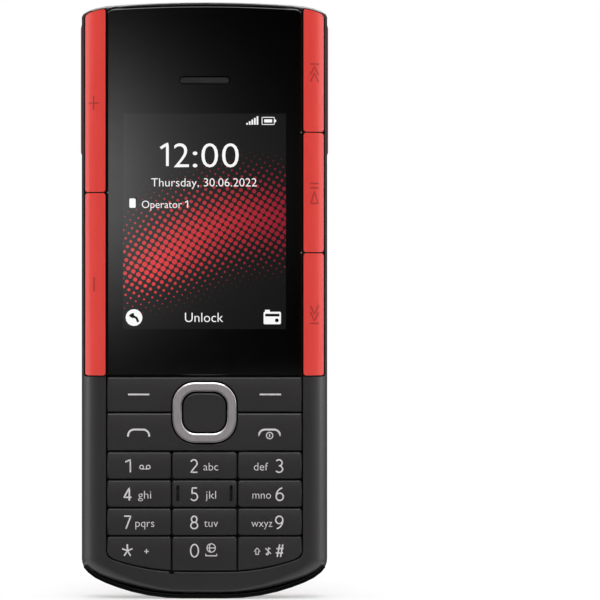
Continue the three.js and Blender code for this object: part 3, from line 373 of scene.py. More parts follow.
SHELL = moulded("abs_satin_lacquered_dark", "292728", "2f2d2e", 0.36, 0.22, 0.02, 0.55)
KEYCAP = moulded("abs_keycap_lacquered_dark", "2b292a", "312f30", 0.34, 0.2, 0.012, 0.5)
COVER = moulded("abs_soft_touch_lacquered_dark", "2b292a", "312f30", 0.46, 0.25, 0.02, 0.35)
SLIDER_RED = moulded("polycarbonate_moulded_red", "dc2e26", "e2372f", 0.4, 0.25, 0.015, 0.4)
RAIL_RED = moulded("nylon_glass_filled_red", "d43830", "dd4038", 0.42, 0.2, 0.015, 0.35)
SIDE_RED = moulded("polycarbonate_keycap_red", "dc3d36", "e3453e", 0.34, 0.2, 0.01, 0.3)
# Lighter red of the lines round the chevrons: a painted highlight
CHEVRON_HIGHLIGHT_RED = moulded("polycarbonate_lip_red_painted_highlight", "e0504a", "e65a54", 0.34, 0.2, 0.01, 0.4)
# Darker red of the raised signs on the side keys: painted shade
SIGN_SHADE_RED = moulded("polycarbonate_embossed_red_painted_shade", "a52c27", "ae332d", 0.42, 0.2, 0.01, 0.3)
GLASS = polished("aluminosilicate_glass_black_printed", "020202", "030303", 0.03, IOR=1.5)
LENS_GLASS = polished("polycarbonate_window_black", "030304", "060608", 0.04, IOR=1.55)
RING_STEEL = brushed("stainless_steel_brushed_ring", "bab4b6", "dcd6d8", 0.6, 0.14, (1, 1, 0.06))
RIM_STEEL = polished("stainless_steel_cut_edge", "d8d4d5", "e8e5e5", 0.18, Metallic=1.0)
PLAIN_STEEL = brushed("steel_zinc_plated", "8b8b8b", "a8a8a8", 0.35, 0.15)
MATT_BLACK = moulded("nylon_glass_filled_black", "141415", "1b1b1d", 0.6, 0.18, 0.02, 0.4)
GRILLE_BLACK = moulded("steel_mesh_painted_black", "302f30", "3a393a", 0.45, 0.12, 0.02, 0.5)
GLOSS_BLACK = polished("polycarbonate_moulded_black", "08080a", "0d0d0f", 0.14, IOR=1.5)
END_BLACK = polished(
    "polycarbonate_end_trim_black", "030304", "060607", 0.3, **{"Specular IOR Level": 0.12}
)
RUBBER = moulded("silicone_moulded_black", "121213", "19191b", 0.75, 0.2, 0.02, 0.4)
TIP_RUBBER = moulded("silicone_moulded_red", "b02a26", "bd332e", 0.6, 0.3, 0.01, 0.4)
BUD_RED = polished("polycarbonate_gloss_red", "cf322b", "d73a32", 0.16, IOR=1.55)
BOARD_GREEN = moulded("epoxy_board_solder_mask_green", "14452c", "1f5a3a", 0.35, 0.4, 0.03)
BATTERY_FOIL = brushed("battery_can_rolled_aluminium", "85888c", "9b9ea2", 0.4, 0.2)
GOLD = polished("contact_gold_plated", "d8a848", "e8bc60", 0.2, Metallic=1.0)
LEGEND = ink("pad_print_ink_pale_grey", "d0cccd", "d8d4d5")
SCREEN_WHITE = ink("display_pixels_white", "f4f4f4", "fcfcfc", 1.0, 0.05)
SCREEN_BLACK = ink("display_pixels_black", "0a0a0a", "0e0e0e", 0.4, 0.05)
PICTURE = dot_picture("display_picture_backlit", 1.35, (14, 54), 32, 18)
FLASH_LENS = polished("polycarbonate_lens_clear_frosted", "e4e0d6", "f4f1e8", 0.18, IOR=1.55)
PHOSPHOR = moulded("led_phosphor_yellow", "efe07a", "fff3a8", 0.4, 0.12, 0.03)


# Coated front lens: nearly black glass with a painted reflection of its coating, a crescent that is
# cyan below and violet blue above
def lens_with_painted_reflection(name, centre_mm, radius_mm):
    made, tree, shader, place = surface(name, **{"Roughness": 0.03, "IOR": 1.7})
    middle = (centre_mm[0] * MM, centre_mm[2] * MM, centre_mm[1] * MM)
    shift = 0.22 * radius_mm * MM
    whole = add(tree, "ShaderNodeVectorMath", {0: place, 1: middle}, operation="DISTANCE")
    inner = add(
        tree,
        "ShaderNodeVectorMath",
        {0: place, 1: (middle[0] - shift, middle[1], middle[2] + shift)},
        operation="DISTANCE",
    )
    edge = add(
        tree,
        "ShaderNodeMapRange",
        {
            "Value": whole.outputs["Value"],
            "From Min": 0.62 * radius_mm * MM,
            "From Max": 0.85 * radius_mm * MM,
            "To Min": 1.0,
            "To Max": 0.0,
        },
    )
    core = add(
        tree,
        "ShaderNodeMapRange",
        {
            "Value": inner.outputs["Value"],
            "From Min": 0.3 * radius_mm * MM,
            "From Max": 0.6 * radius_mm * MM,
        },
    )
    # The crescent is a painted reflection of the coating, set in the base colour
    painted_crescent = add(
        tree,
        "ShaderNodeMath",
        {0: edge.outputs["Result"], 1: core.outputs["Result"]},
        operation="MULTIPLY",
    )
    tilt = add(tree, "ShaderNodeSeparateXYZ", {"Vector": place})
    turn = add(
        tree,
        "ShaderNodeMapRange",
        {
            "Value": tilt.outputs["Z"],
            "From Min": middle[2] - 0.4 * radius_mm * MM,
            "From Max": middle[2] + 0.4 * radius_mm * MM,
        },
    )
    hue = add(
        tree,
        "ShaderNodeMix",
        {"Factor": turn.outputs["Result"], COLOUR_A: linear("18b8d0"), COLOUR_B: linear("3a2ee0")},
        data_type="RGBA",
    )
    tone = add(
        tree,
        "ShaderNodeMix",
        {"Factor": painted_crescent.outputs[0], COLOUR_A: linear("071018"), COLOUR_B: hue.outputs[COLOUR_OUT]},
        data_type="RGBA",
    )
    tree.links.new(tone.outputs[COLOUR_OUT], shader.inputs["Base Color"])
    return made


# Pieces
def attach(name, mesh, material, body, smooth=32.0):
    thing = bpy.data.objects.new(name, mesh)
    scene.collection.objects.link(thing)
    if not mesh.materials:
        mesh.materials.append(material)
    mesh.shade_smooth()
    mesh.set_sharp_from_angle(angle=math.radians(smooth))
    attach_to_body(thing, body)
    return thing


def mesh_of(name, work):
    mesh = bpy.data.meshes.new(name)
    work.to_mesh(mesh)
    work.free()
    return mesh


def bevelled(work, edges, width, segments):
    bmesh.ops.bevel(
        work,
        geom=edges,
        offset=width,
        affect="EDGES",
        segments=segments,
        profile=0.5,
        material=-1,
    )


# Adds a row of edges where a plane crosses the mesh
def slice_at(work, point, normal, near=0.0001 * MM):
    bmesh.ops.bisect_plane(
        work,
        geom=work.verts[:] + work.edges[:] + work.faces[:],
        dist=near,
        plane_co=point,
        plane_no=normal,
    )


# The middle of a node's box seen from the front, in mm
def middle_of(node):
    low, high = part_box(node)
    return (low[0] + high[0]) / 2 / MM, (low[2] + high[2]) / 2 / MM


BODY_OF = {
    node: body
    for body, members in frame["record"]["behaviour"]["bodies"].items()
    for node in members
}
SLOT_OF = {part["node"]: part["material_slot"] for part in frame["record"]["subparts"]}
MERGE = 0.002 * MM
FLAT = math.radians(0.4)


# A copy of a CAD node with joined faces, rounded edges and even shading, which stands for the node
def refined(node, name, material, edge_mm, segments=2, change=None, smooth=32.0, limit=38):
    work = bmesh.new()
    work.from_mesh(nodes[node].data)
    bmesh.ops.remove_doubles(work, verts=work.verts, dist=MERGE)
    bmesh.ops.dissolve_limit(work, angle_limit=FLAT, verts=work.verts, edges=work.edges)
    if change:
        change(work)
    bmesh.ops.recalc_face_normals(work, faces=work.faces)
    thing = attach(name, mesh_of(name, work), material, BODY_OF[node], smooth)
    if edge_mm:
        soft = thing.modifiers.new("soft_edges", "BEVEL")
        soft.width = edge_mm * MM
        soft.segments = segments
        soft.limit_method = "ANGLE"
        soft.angle_limit = math.radians(limit)
    even = thing.modifiers.new("even_shading", "WEIGHTED_NORMAL")
    even.keep_sharp = True
    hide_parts(node)
    return thing


# A piece turned about an axis along Y: its profile is a list of (radius, y) in mm
def turned(name, profile, centre_mm, material, body, slot, steps=48, smooth=32.0):
    work = bmesh.new()
    ring = [work.verts.new((r * MM, y * MM, 0)) for r, y in profile]
    edges = [work.edges.new(pair) for pair in zip(ring, ring[1:])]
    bmesh.ops.spin(
        work,
        geom=ring + edges,
        cent=(0, 0, 0),
        axis=(0, 1, 0),
        angle=2 * math.pi,
        steps=steps,
        use_merge=True,
    )
    bmesh.ops.remove_doubles(work, verts=work.verts, dist=0.001 * MM)
    bmesh.ops.translate(work, verts=work.verts, vec=(centre_mm[0] * MM, 0, centre_mm[1] * MM))
    bmesh.ops.recalc_face_normals(work, faces=work.faces)
    return attach(name, mesh_of(name, work), material, body, smooth)


# A flat block between two depths with rounded corners seen from the front, added to work
def add_block(work, left, right, low, high, front, back, corner=0.0):
    made = bmesh.ops.create_cube(work, size=1)["verts"]
    size = ((right - left) * MM, (back - front) * MM, (high - low) * MM)
    middle = ((left + right) / 2 * MM, (front + back) / 2 * MM, (low + high) / 2 * MM)
    bmesh.ops.scale(work, verts=made, vec=size)
    bmesh.ops.translate(work, verts=made, vec=middle)
    if corner:
        upright = [
            e
            for e in {e for v in made for e in v.link_edges}
            if abs(e.verts[0].co.y - e.verts[1].co.y) > 0.5 * size[1]
        ]
        bevelled(work, upright, corner * MM, 4)


def arc(x, z, wide, tall, start, end, steps=14):
    angles = [math.radians(start + (end - start) * i / steps) for i in range(steps + 1)]
    return [(x + wide * math.cos(a), z + tall * math.sin(a)) for a in angles]


# Points along a path no further apart than step, so that a line can follow a curved face
def close_points(path, step):
    points = [path[0]]
    for (x0, z0), (x1, z1) in zip(path, path[1:]):
        count = max(1, math.ceil(math.hypot(x1 - x0, z1 - z0) / step))
        shares = [i / count for i in range(1, count + 1)]
        points += [(x0 + (x1 - x0) * share, z0 + (z1 - z0) * share) for share in shares]
    return points


FILM_MM = 0.03
LINE_STEP_MM = 0.5


def curve_mesh(curve):
    holder = bpy.data.objects.new("outline", curve)
    scene.collection.objects.link(holder)
    bpy.context.view_layer.update()
    mesh = bpy.data.meshes.new_from_object(holder)
    bpy.data.objects.remove(holder)
    bpy.data.curves.remove(curve)
    return mesh


# Drawn lines of one width, flattened to a film: paths are lists of (x, z) in mm
def drawn(paths, width_mm, thick_mm=FILM_MM):
    curve = bpy.data.curves.new("lines", "CURVE")
    curve.dimensions = "3D"
    curve.bevel_depth = width_mm / 2 * MM
    curve.bevel_resolution = 1
    curve.use_fill_caps = True
    for path in paths:
        closed = path[0] == path[-1]
        points = close_points(path, LINE_STEP_MM)
        if closed:
            points = points[:-1]
        spline = curve.splines.new("POLY")
        spline.points.add(len(points) - 1)
        spline.use_cyclic_u = closed
        for spot, (x, z) in zip(spline.points, points):
            spot.co = (x * MM, 0, z * MM, 1)
    mesh = curve_mesh(curve)
    mesh.transform(Matrix.Diagonal((1, thick_mm / width_mm * 2, 1, 1)))
    return mesh


# The built-in font at size 1: the height of its capitals, and the depth given to its letters
CAPITAL = 0.682
LETTER_DEPTH = 0.02


# Lettering set between two sides on a base line, with its capital height, in mm
def lettering(body, left, right, base, capital, weight=0.0):
    curve = bpy.data.curves.new("letters", "FONT")
    curve.body = body
    curve.size = 1
    curve.offset = weight
    curve.extrude = LETTER_DEPTH
    curve.resolution_u = 4
    mesh = curve_mesh(curve)
    wide = [v.co.x for v in mesh.vertices]
    stretch = (right - left) / (max(wide) - min(wide))
    tall = capital / CAPITAL
    deep = FILM_MM / LETTER_DEPTH
    move = Matrix.Translation((left * MM, 0, base * MM))
    turn = Matrix.Rotation(math.radians(90), 4, "X")
    grow = Matrix.Diagonal((stretch * MM, tall * MM, deep * MM, 1))
    mesh.transform(move @ turn @ grow @ Matrix.Translation((-min(wide), 0, 0)))
    return mesh


def filled(shapes):
    work = bmesh.new()
    for left, right, low, high, corner in shapes:
        add_block(work, left, right, low, high, -FILM_MM, FILM_MM, corner)
    return mesh_of("shape", work)


# Thin marks joined into one piece that lies on a face. The function lay gives the depth of the face,
# and the marks are divided at the heights in cuts, so that they can follow its crown.
def marks(name, meshes, material, body, lay, cuts=()):
    work = bmesh.new()
    for mesh in meshes:
        work.from_mesh(mesh)
        bpy.data.meshes.remove(mesh)
    for cut in cuts:
        slice_at(work, (0, 0, cut * MM), (0, 0, 1))
    for v in work.verts:
        v.co.y += lay(v.co.x / MM, v.co.z / MM) * MM
    bmesh.ops.recalc_face_normals(work, faces=work.faces)
    return attach(name, mesh_of(name, work), material, body, smooth=50)


# Shells: front and rear housings, the rail frame, the battery cover, the slider and the glass
END_REACH = 10 * MM
END_SLOPE = 0.5
END_FORE = -3.6 * MM


# The ends of both housings are smooth black, but the rounding below the number pad stays grey
def black_ends(thing):
    thing.data.materials.append(END_BLACK)
    for face in thing.data.polygons:
        centre, up = face.center, face.normal.z
        low_end = centre.z < END_REACH and up < -END_SLOPE and centre.y > END_FORE
        top_end = centre.z > PHONE_LENGTH - END_REACH and up > END_SLOPE
        if low_end or top_end:
            face.material_index = 1


SLIDER_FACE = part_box("slider_cover")[1][1]
SLIDER_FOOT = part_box("slider_cover")[0][2]
LIP_REACH = 4 * MM
LIP_SLOPE = 0.7
LIP_DEPTH = 1.1 * MM
LIP_RISE = 0.75 * MM


# The lower rim of the slider is cut to a slanted lip, which shows as a dark line under it
def lip(work):
    edges = [
        e
        for e in work.edges
        if len(e.link_faces) == 2 and min(f.normal.z for f in e.link_faces) < -LIP_SLOPE
    ]
    for v in {v for e in edges for v in e.verts if v.co.z < SLIDER_FOOT + LIP_REACH}:
        share = (v.co.y - SLIDER_FACE) / LIP_DEPTH + 1
        v.co.z += LIP_RISE * min(1, max(0, share))


CHIN_FACE = -7.7 * MM
CHIN_TOP = 14 * MM
CHIN_NEAR = 0.03 * MM
CHIN_SLOPE = 0.5
CHIN_CHAMFER = 0.26 * MM


# The lower rim of the keypad opening is broken by a wider chamfer, which catches light from above
def keypad_rim(work):
    rim = [
        e
        for e in work.edges
        if len(e.link_faces) == 2
        and all(abs(v.co.y - CHIN_FACE) < CHIN_NEAR and v.co.z < CHIN_TOP for v in e.verts)
        and any(f.normal.z > CHIN_SLOPE for f in e.link_faces)
    ]
    bevelled(work, rim, CHIN_CHAMFER, 2)


black_ends(refined("front_shell", "shell_front", SHELL, 0.12, change=keypad_rim))
black_ends(refined("rear_housing", "shell_rear", SHELL, 0.12))
refined("rear_frame", "rail_frame", RAIL_RED, 0.12)
refined("back_cover", "battery_cover", COVER, 0.12)
refined("slider_cover", "slider_shell", SLIDER_RED, 0.1, 2, lip)
refined("front_glass", "cover_glass", GLASS, 0.06)


# Smooth black trim under the front shell: a band along its lower outline, drawn back at the corners
TRIM_DROP = 0.64 * MM
TRIM_BACK = -2.6 * MM
TRIM_FRONT = -7.3
TRIM_STRAIGHT = 10
TRIM_TAPER = 0.0095
TRIM_TOP = 9 * MM
TRIM_SLOPE = 0.42
TRIM_STEP = 0.2 * MM
TRIM_NEAR = 0.01 * MM
TRIM_THICK = 0.95 * MM
TRIM_EDGE = 0.12 * MM


def foot_trim():
    shell = bmesh.new()
    shell.from_mesh(nodes["front_shell"].data)
    bmesh.ops.remove_doubles(shell, verts=shell.verts, dist=MERGE)
    slice_at(shell, (0, TRIM_BACK, 0), (0, 1, 0), 0.001 * MM)
    shell.normal_update()
    line = sorted(
        (v.co.x, v.co.z)
        for f in shell.faces
        if f.normal.z < -TRIM_SLOPE
        for v in f.verts
        if abs(v.co.y - TRIM_BACK) < TRIM_NEAR and v.co.z < TRIM_TOP
    )
    shell.free()
    spread = line[:1]
    for x, z in line:
        if x >= spread[-1][0] + TRIM_STEP:
            spread.append((x, z))
    work = bmesh.new()
    rear = [work.verts.new((x, TRIM_BACK, z - TRIM_DROP)) for x, z in spread]
    edges = [work.edges.new(pair) for pair in zip(rear, rear[1:])]
    made = bmesh.ops.extrude_edge_only(work, edges=edges)["geom"]
    for v in (part for part in made if isinstance(part, bmesh.types.BMVert)):
        past = max(0, abs(v.co.x) / MM - TRIM_STRAIGHT)
        v.co.y = (TRIM_FRONT + TRIM_TAPER * past * past) * MM
    work.normal_update()
    upward = [f for f in work.faces if f.normal.z > 0]
    bmesh.ops.reverse_faces(work, faces=upward)
    mesh = mesh_of("foot_trim", work)
    trim = attach("foot_trim", mesh, END_BLACK, "phone")
    thick = trim.modifiers.new("thickness", "SOLIDIFY")
    thick.thickness = TRIM_THICK
    thick.offset = -1
    soft = trim.modifiers.new("soft_edges", "BEVEL")
    soft.width = TRIM_EDGE
    soft.segments = 2


foot_trim()

# The two chevrons on the slider are ringed by a fine raised line, painted a lighter red as a highlight
CHEVRON_REACH = 3.1
CHEVRON_RISE = 1.95
CHEVRON_FEET = (104.2, 107.8)
CHEVRON_LINE = 0.72
CHEVRON_PEN = 0.3
CHEVRON_PROUD = 0.06
CHEVRON_LIFT = 0.02


def chevron_line(foot):
    slope = math.degrees(math.atan2(CHEVRON_REACH, CHEVRON_RISE))
    top = foot + CHEVRON_RISE
    r = CHEVRON_LINE
    path = arc(-CHEVRON_REACH, top, r, r, slope, slope + 180, 8)
    path += arc(0, foot, r, r, slope + 180, 360 - slope, 6)
    path += arc(CHEVRON_REACH, top, r, r, 360 - slope, 540 - slope, 8)
    path += [(0, foot + r / math.sin(math.radians(slope))), path[0]]
    return path


marks(
    "chevron_lines",
    [drawn([chevron_line(foot) for foot in CHEVRON_FEET], CHEVRON_PEN, CHEVRON_PROUD)],
    CHEVRON_HIGHLIGHT_RED,
    "slider",
    lambda x, z: SLIDER_FACE / MM + CHEVRON_LIFT,
)

# Parts that keep their CAD shape
for node, material in {
    "display_module": GLOSS_BLACK,
    "earpiece": MATT_BLACK,
    "switch_strip_left": BOARD_GREEN,
    "switch_strip_right": BOARD_GREEN,
    "keypad_mat": RUBBER,
    "main_board": BOARD_GREEN,
    "battery": BATTERY_FOIL,
    "antenna_carrier": MATT_BLACK,
    "camera_bridge": MATT_BLACK,
    "speaker_upper": MATT_BLACK,
    "speaker_lower": MATT_BLACK,
    "vibration_motor": PLAIN_STEEL,
    "slide_shoe_left": MATT_BLACK,
    "slide_shoe_right": MATT_BLACK,
    "nav_rocker": MATT_BLACK,
    "screw_upper_left": PLAIN_STEEL,
    "screw_upper_right": PLAIN_STEEL,
    "screw_lower_left": PLAIN_STEEL,
    "screw_lower_right": PLAIN_STEEL,
    "earpiece_grille": MATT_BLACK,
    "speaker_grille_upper": MATT_BLACK,
    "speaker_grille_lower": MATT_BLACK,
    "usb_socket": PLAIN_STEEL,
    "headset_jack": MATT_BLACK,
    "camera_module": GLOSS_BLACK,
}.items():
    for place in nodes[node].material_slots:
        place.material = material

# Keypad: the caps are crowned from their top edge to their bottom edge, and the legends follow the
# crown. Only the select key is flat.
CROWN_MM = 0.32
FACE_MM = -7.85
CROWN_STEPS = 6
CAP_DEPTH_MM = 0.5
CAP_EDGE_MM = 0.15


def crown_of(node):
    low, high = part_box(node)
    middle = (low[2] + high[2]) / 2 / MM
    half = (high[2] - low[2]) / 2 / MM
    cuts = [middle + half * (2 * i / CROWN_STEPS - 1) for i in range(1, CROWN_STEPS)]

    def sink(x, z):
        return CROWN_MM * ((z - middle) / half) ** 2

    return cuts, sink


def crowned(node):
    cuts, sink = crown_of(node)

    def change(work):
        for cut in cuts:
            slice_at(work, (0, 0, cut * MM), (0, 0, 1))
        for v in work.verts:
            if v.co.y < (FACE_MM + CAP_DEPTH_MM) * MM:
                v.co.y += sink(0, v.co.z / MM) * MM

    return change


def on_key(node):
    cuts, sink = crown_of(node)
    return cuts, lambda x, z: FACE_MM + sink(x, z)


for node in [n for n in nodes if n.startswith("key_")] + ["soft_key_bar", "call_key_bar"]:
    refined(node, node.replace("key_", "cap_"), KEYCAP, CAP_EDGE_MM, 3, crowned(node))
refined("select_key", "cap_select", KEYCAP, CAP_EDGE_MM, 3)

# Digit shapes on a field one high, drawn with a round pen
DIGITS = {
    "0": [arc(0.3, 0.5, 0.26, 0.47, 0, 360, 28)],
    "1": [[(0.1, 0.8), (0.36, 0.97), (0.36, 0.03)]],
    "2": [arc(0.29, 0.71, 0.25, 0.26, 155, -28) + [(0.05, 0.03), (0.57, 0.03)]],
    "3": [arc(0.26, 0.74, 0.24, 0.23, 145, -90) + arc(0.26, 0.27, 0.28, 0.24, 90, -145)],
    "4": [[(0.44, 0.03), (0.44, 0.97), (0.04, 0.27), (0.6, 0.27)]],
    "5": [[(0.52, 0.97), (0.14, 0.97), (0.11, 0.56)] + arc(0.27, 0.31, 0.28, 0.28, 118, -145)],
    "6": [arc(0.3, 0.31, 0.26, 0.28, 0, 360, 24), arc(0.56, 0.33, 0.52, 0.64, 98, 180)],
    "7": [[(0.04, 0.97), (0.56, 0.97), (0.18, 0.03)]],
    "8": [arc(0.3, 0.74, 0.21, 0.23, 0, 360, 22), arc(0.3, 0.27, 0.26, 0.24, 0, 360, 24)],
    "9": [arc(0.3, 0.69, 0.26, 0.28, 0, 360, 24), arc(0.04, 0.67, 0.52, 0.64, -82, 0)],
    "star": [[(0.5, 0.5), tip] for tip in arc(0.5, 0.5, 0.48, 0.48, 90, 378, 4)],
    "hash": [
        [(0.16, 0.03), (0.38, 0.97)],
        [(0.46, 0.03), (0.68, 0.97)],
        [(0.08, 0.66), (0.76, 0.66)],
        [(0.02, 0.33), (0.7, 0.33)],
    ],
}
PEN_MM = 0.36
THIN_PEN_MM = 0.24
SIGN_PEN_MM = 0.42


def digit(name, left, right, base, height):
    lines = DIGITS[name]
    wide = [x for line in lines for x, z in line]
    grow = (right - left - PEN_MM) / (max(wide) - min(wide))
    return [
        [(left + PEN_MM / 2 + (x - min(wide)) * grow, base + z * height) for x, z in line]
        for line in lines
    ]


# Legends of the number keys in mm: the digit's sides, then the letters with their sides
DIGIT_RISE = 4.65
DIGIT_HEIGHT = 3.0
LETTER_RISE = 4.15
SIGN_RISE = 1.35
LETTER_WEIGHT = -0.008
LETTER_HEIGHT = 1.75
NUMBER_LEGENDS = {
    "1": (-18.0, -16.5, "", 0, 0),
    "2": (-3.26, -1.4, "abc", -0.25, 3.08),
    "3": (15.9, 17.75, "def", 11.1, 14.3),
    "4": (-18.3, -16.25, "ghi", -14.95, -12.0),
    "5": (-3.2, -1.4, "jkl", 0.25, 2.6),
    "6": (15.95, 17.9, "mno", 10.8, 14.95),
    "7": (-18.25, -16.4, "pqrs", -15.55, -11.3),
    "8": (-3.26, -1.37, "tuv", -0.1, 3.04),
    "9": (15.85, 17.8, "wxyz", 10.55, 15.3),
    "star": (-18.7, -16.0, "", 0, 0),
    "0": (-3.3, -1.2, "", 0, 0),
    "hash": (15.85, 18.0, "", 0, 0),
}


def small_signs(name, base):
    middle = base + SIGN_RISE
    if name == "1":
        return [
            arc(-14.15, middle - 0.1, 0.42, 0.42, 0, 360, 16),
            arc(-12.65, middle - 0.1, 0.42, 0.42, 0, 360, 16),
            [(-14.15, middle - 0.52), (-12.65, middle - 0.52)],
        ]
    if name == "star":
        return [
            [(-13.55, middle), (-12.55, middle)],
            [(-13.05, middle - 0.5), (-13.05, middle + 0.5)],
        ]
    if name == "0":
        return [
            arc(1.5, middle + 0.75, 0.95, 0.95, 0, 360, 20),
            arc(1.5, middle + 0.75, 0.4, 0.95, 90, 270, 10),
            [(0.55, middle + 0.75), (2.45, middle + 0.75)],
            [(0.3, middle - 0.55), (0.3, middle - 1.0), (2.75, middle - 1.0), (2.75, middle - 0.55)],
        ]
    if name == "hash":
        arrow = [(11.2, 0.0), (11.85, 0.75), (12.5, 0.0), (12.15, 0.0), (12.15, -0.7), (11.55, -0.7)]
        arrow += [(11.55, 0.0), (11.2, 0.0)]
        return [
            [(x, middle + z) for x, z in arrow],
            [(14.35, middle - 0.6), (14.35, middle + 0.85), (14.8, middle + 0.5)],
            arc(14.12, middle - 0.6, 0.22, 0.2, 0, 360, 10),
            [(13.7, middle + 0.7), (14.95, middle - 0.55)],
        ]
    return []


for name, (left, right, letters, first, last) in NUMBER_LEGENDS.items():
    node = "key_" + name
    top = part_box(node)[1][2] / MM
    base = top - DIGIT_RISE
    pieces = [drawn(digit(name, left, right, base, DIGIT_HEIGHT), PEN_MM)]
    signs = small_signs(name, base)
    if letters:
        foot = top - LETTER_RISE
        pieces.append(lettering(letters, first, last, foot, LETTER_HEIGHT, LETTER_WEIGHT))
    if signs:
        pieces.append(drawn(signs, THIN_PEN_MM))
    cuts, lay = on_key(node)
    marks("legend_" + name, pieces, LEGEND, BODY_OF[node], lay, cuts)

# Two raised feeling marks on the middle key, painted black as painted shade of slots
FEEL_X = 6.0
FEEL_HALF = 0.33
FEEL_RAISE = 0.13
cuts, lay = on_key("key_5")
feel = filled(
    [(side * FEEL_X - FEEL_HALF, side * FEEL_X + FEEL_HALF, 21.95, 25.55, 0.3) for side in (-1, 1)]
)
marks(
    "feel_marks_painted_shade",
    [feel],
    GLOSS_BLACK,
    BODY_OF["key_5"],
    lambda x, z: lay(x, z) - FEEL_RAISE,
    cuts,
)

# Soft keys carry a dash each, call keys an arch each, with a power sign under the right one
DASH_HEIGHT = 46.0
DASH_SIDES = (12.4, 17.2)
CALL_TOP = 38.1
ARCH_TURN = 1.35
POWER = (14.65, 36.75)
POWER_RADIUS = 0.72
POWER_PEN = 0.26


def arch(left, right, top, foot):
    turn = ARCH_TURN
    return (
        [(left, foot)]
        + arc(left + turn, top - turn, turn, turn, 180, 90, 6)
        + arc(right - turn, top - turn, turn, turn, 90, 0, 6)
        + [(right, foot)]
    )


cuts, lay = on_key("soft_key_bar")
lines = [[(side * far, DASH_HEIGHT) for far in reversed(DASH_SIDES)] for side in (-1, 1)]
dashes = drawn(lines, SIGN_PEN_MM)
marks("legend_soft_keys", [dashes], LEGEND, "soft_keys", lay, cuts)
cuts, lay = on_key("call_key_bar")
lines = [arch(-17.2, -12.45, CALL_TOP, 36.5), arch(12.25, 17.0, CALL_TOP, 36.9)]
arches = drawn(lines, SIGN_PEN_MM)
circle = arc(*POWER, POWER_RADIUS, POWER_RADIUS, 0, 360, 20)
power = drawn([circle, [(POWER[0], 36.4), (POWER[0], 37.1)]], POWER_PEN)
marks("legend_call_keys", [arches, power], LEGEND, "call_keys", lay, cuts)


# Ring: brushed face, cut and polished edges
RING_CUT = 0.2 * MM
RING_NEAR = 0.01 * MM
RING_FOLD = math.radians(20)
CUT_SLOPES = (0.15, 0.97)


def cut_edges(work):
    face = min(v.co.y for v in work.verts)
    rim = [e for e in work.edges if all(v.co.y < face + RING_NEAR for v in e.verts)]
    rim = [e for e in rim if len(e.link_faces) == 2 and e.calc_face_angle() > RING_FOLD]
    bevelled(work, rim, RING_CUT, 3)


ring = refined("nav_ring", "ring_brushed", RING_STEEL, 0, change=cut_edges, smooth=50)
ring.data.materials.append(RIM_STEEL)
for face in ring.data.polygons:
    if CUT_SLOPES[0] < -face.normal.y < CUT_SLOPES[1]:
        face.material_index = 1


# Side keys: red caps with raised signs that follow the rounded shoulder; the signs are a darker red,
# which is painted shade
SHOULDER_START = 22.2
SHOULDER_WIDE = 5.58
SHOULDER_TALL = 5.9
SHOULDER_FOOT = -1.8
CAP_RISE = 0.15
SIDE_PEN = 0.34
SIDE_PROUD = 0.07


def on_shoulder(x, z):
    share = (abs(x) - SHOULDER_START) / SHOULDER_WIDE
    return SHOULDER_FOOT - CAP_RISE - SHOULDER_TALL * math.sqrt(1 - share * share)


SIDE_SIGNS = {
    "volume_up": [[(-25.0, 113.2), (-25.0, 110.1)], [(-26.1, 111.6), (-23.8, 111.6)]],
    "volume_down": [[(-24.9, 72.4), (-24.9, 69.2)]],
    "previous": [
        [(23.85, 120.4), (25.75, 120.4)],
        [(23.85, 118.0), (24.8, 119.9), (25.75, 118.0)],
        [(23.85, 116.4), (24.8, 118.3), (25.75, 116.4)],
    ],
    "play": [
        [(23.85, 93.5), (25.75, 93.5)],
        [(23.85, 92.5), (25.75, 92.5)],
        [(23.95, 89.0), (24.8, 91.8), (25.65, 89.0), (23.95, 89.0)],
    ],
    "next": [
        [(23.85, 66.0), (24.8, 64.1), (25.75, 66.0)],
        [(23.85, 64.5), (24.8, 62.6), (25.75, 64.5)],
        [(23.85, 62.0), (25.75, 62.0)],
    ],
}
for name, lines in SIDE_SIGNS.items():
    node = name + "_key"
    refined(node, name + "_cap", SIDE_RED, 0.15, 3)
    sign = drawn(lines, SIDE_PEN, SIDE_PROUD)
    marks("sign_" + name, [sign], SIGN_SHADE_RED, BODY_OF[node], on_shoulder)

# Display: the picture and what it shows, bonded to the glass
PICTURE_HALF = 18.3
PICTURE_LOW = 60.7
PICTURE_HIGH = 109.2


# Films lie proud of the glass by a few hundredths of a millimetre, each above the last
def above_glass(proud_mm):
    return lambda x, z: FACE_MM + FILM_MM - proud_mm


panel = filled([(-PICTURE_HALF, PICTURE_HALF, PICTURE_LOW, PICTURE_HIGH, 0)])
marks("display_picture", [panel], PICTURE, "phone", above_glass(0.012))
clock_one = drawn([[(-9.9, 101.4), (-8.35, 102.4), (-8.35, 97.4)]], 0.72)
CLOCK = (("2", -6.9, -3.5), (":", -2.65, -1.6), ("0", -0.7, 3.05), ("0", 3.95, 7.7))
clock = [lettering(sign, left, right, 97.1, 5.4, LETTER_WEIGHT) for sign, left, right in CLOCK]
date = lettering("Thursday, 30.06.2022", -12.0, 11.75, 92.8, 1.85, -0.007)
network = lettering("Operator", -14.1, -5.1, 87.95, 1.65, -0.006)
line_one = drawn([[(-4.35, 89.2), (-3.8, 89.6), (-3.8, 88.05)]], 0.28)
unlock = lettering("Unlock", -4.4, 4.2, 62.3, 2.1, -0.007)
card = filled([(-16.9, -15.5, 88.0, 90.1, 0.25)])
bars = filled([(9.4 + 0.58 * i, 9.78 + 0.58 * i, 106.7, 107.1 + 0.37 * i, 0) for i in range(5)])
corners = [(12.95, 106.75), (15.7, 106.75), (15.7, 108.35), (12.95, 108.35), (12.95, 106.75)]
cell = drawn([corners], 0.22)
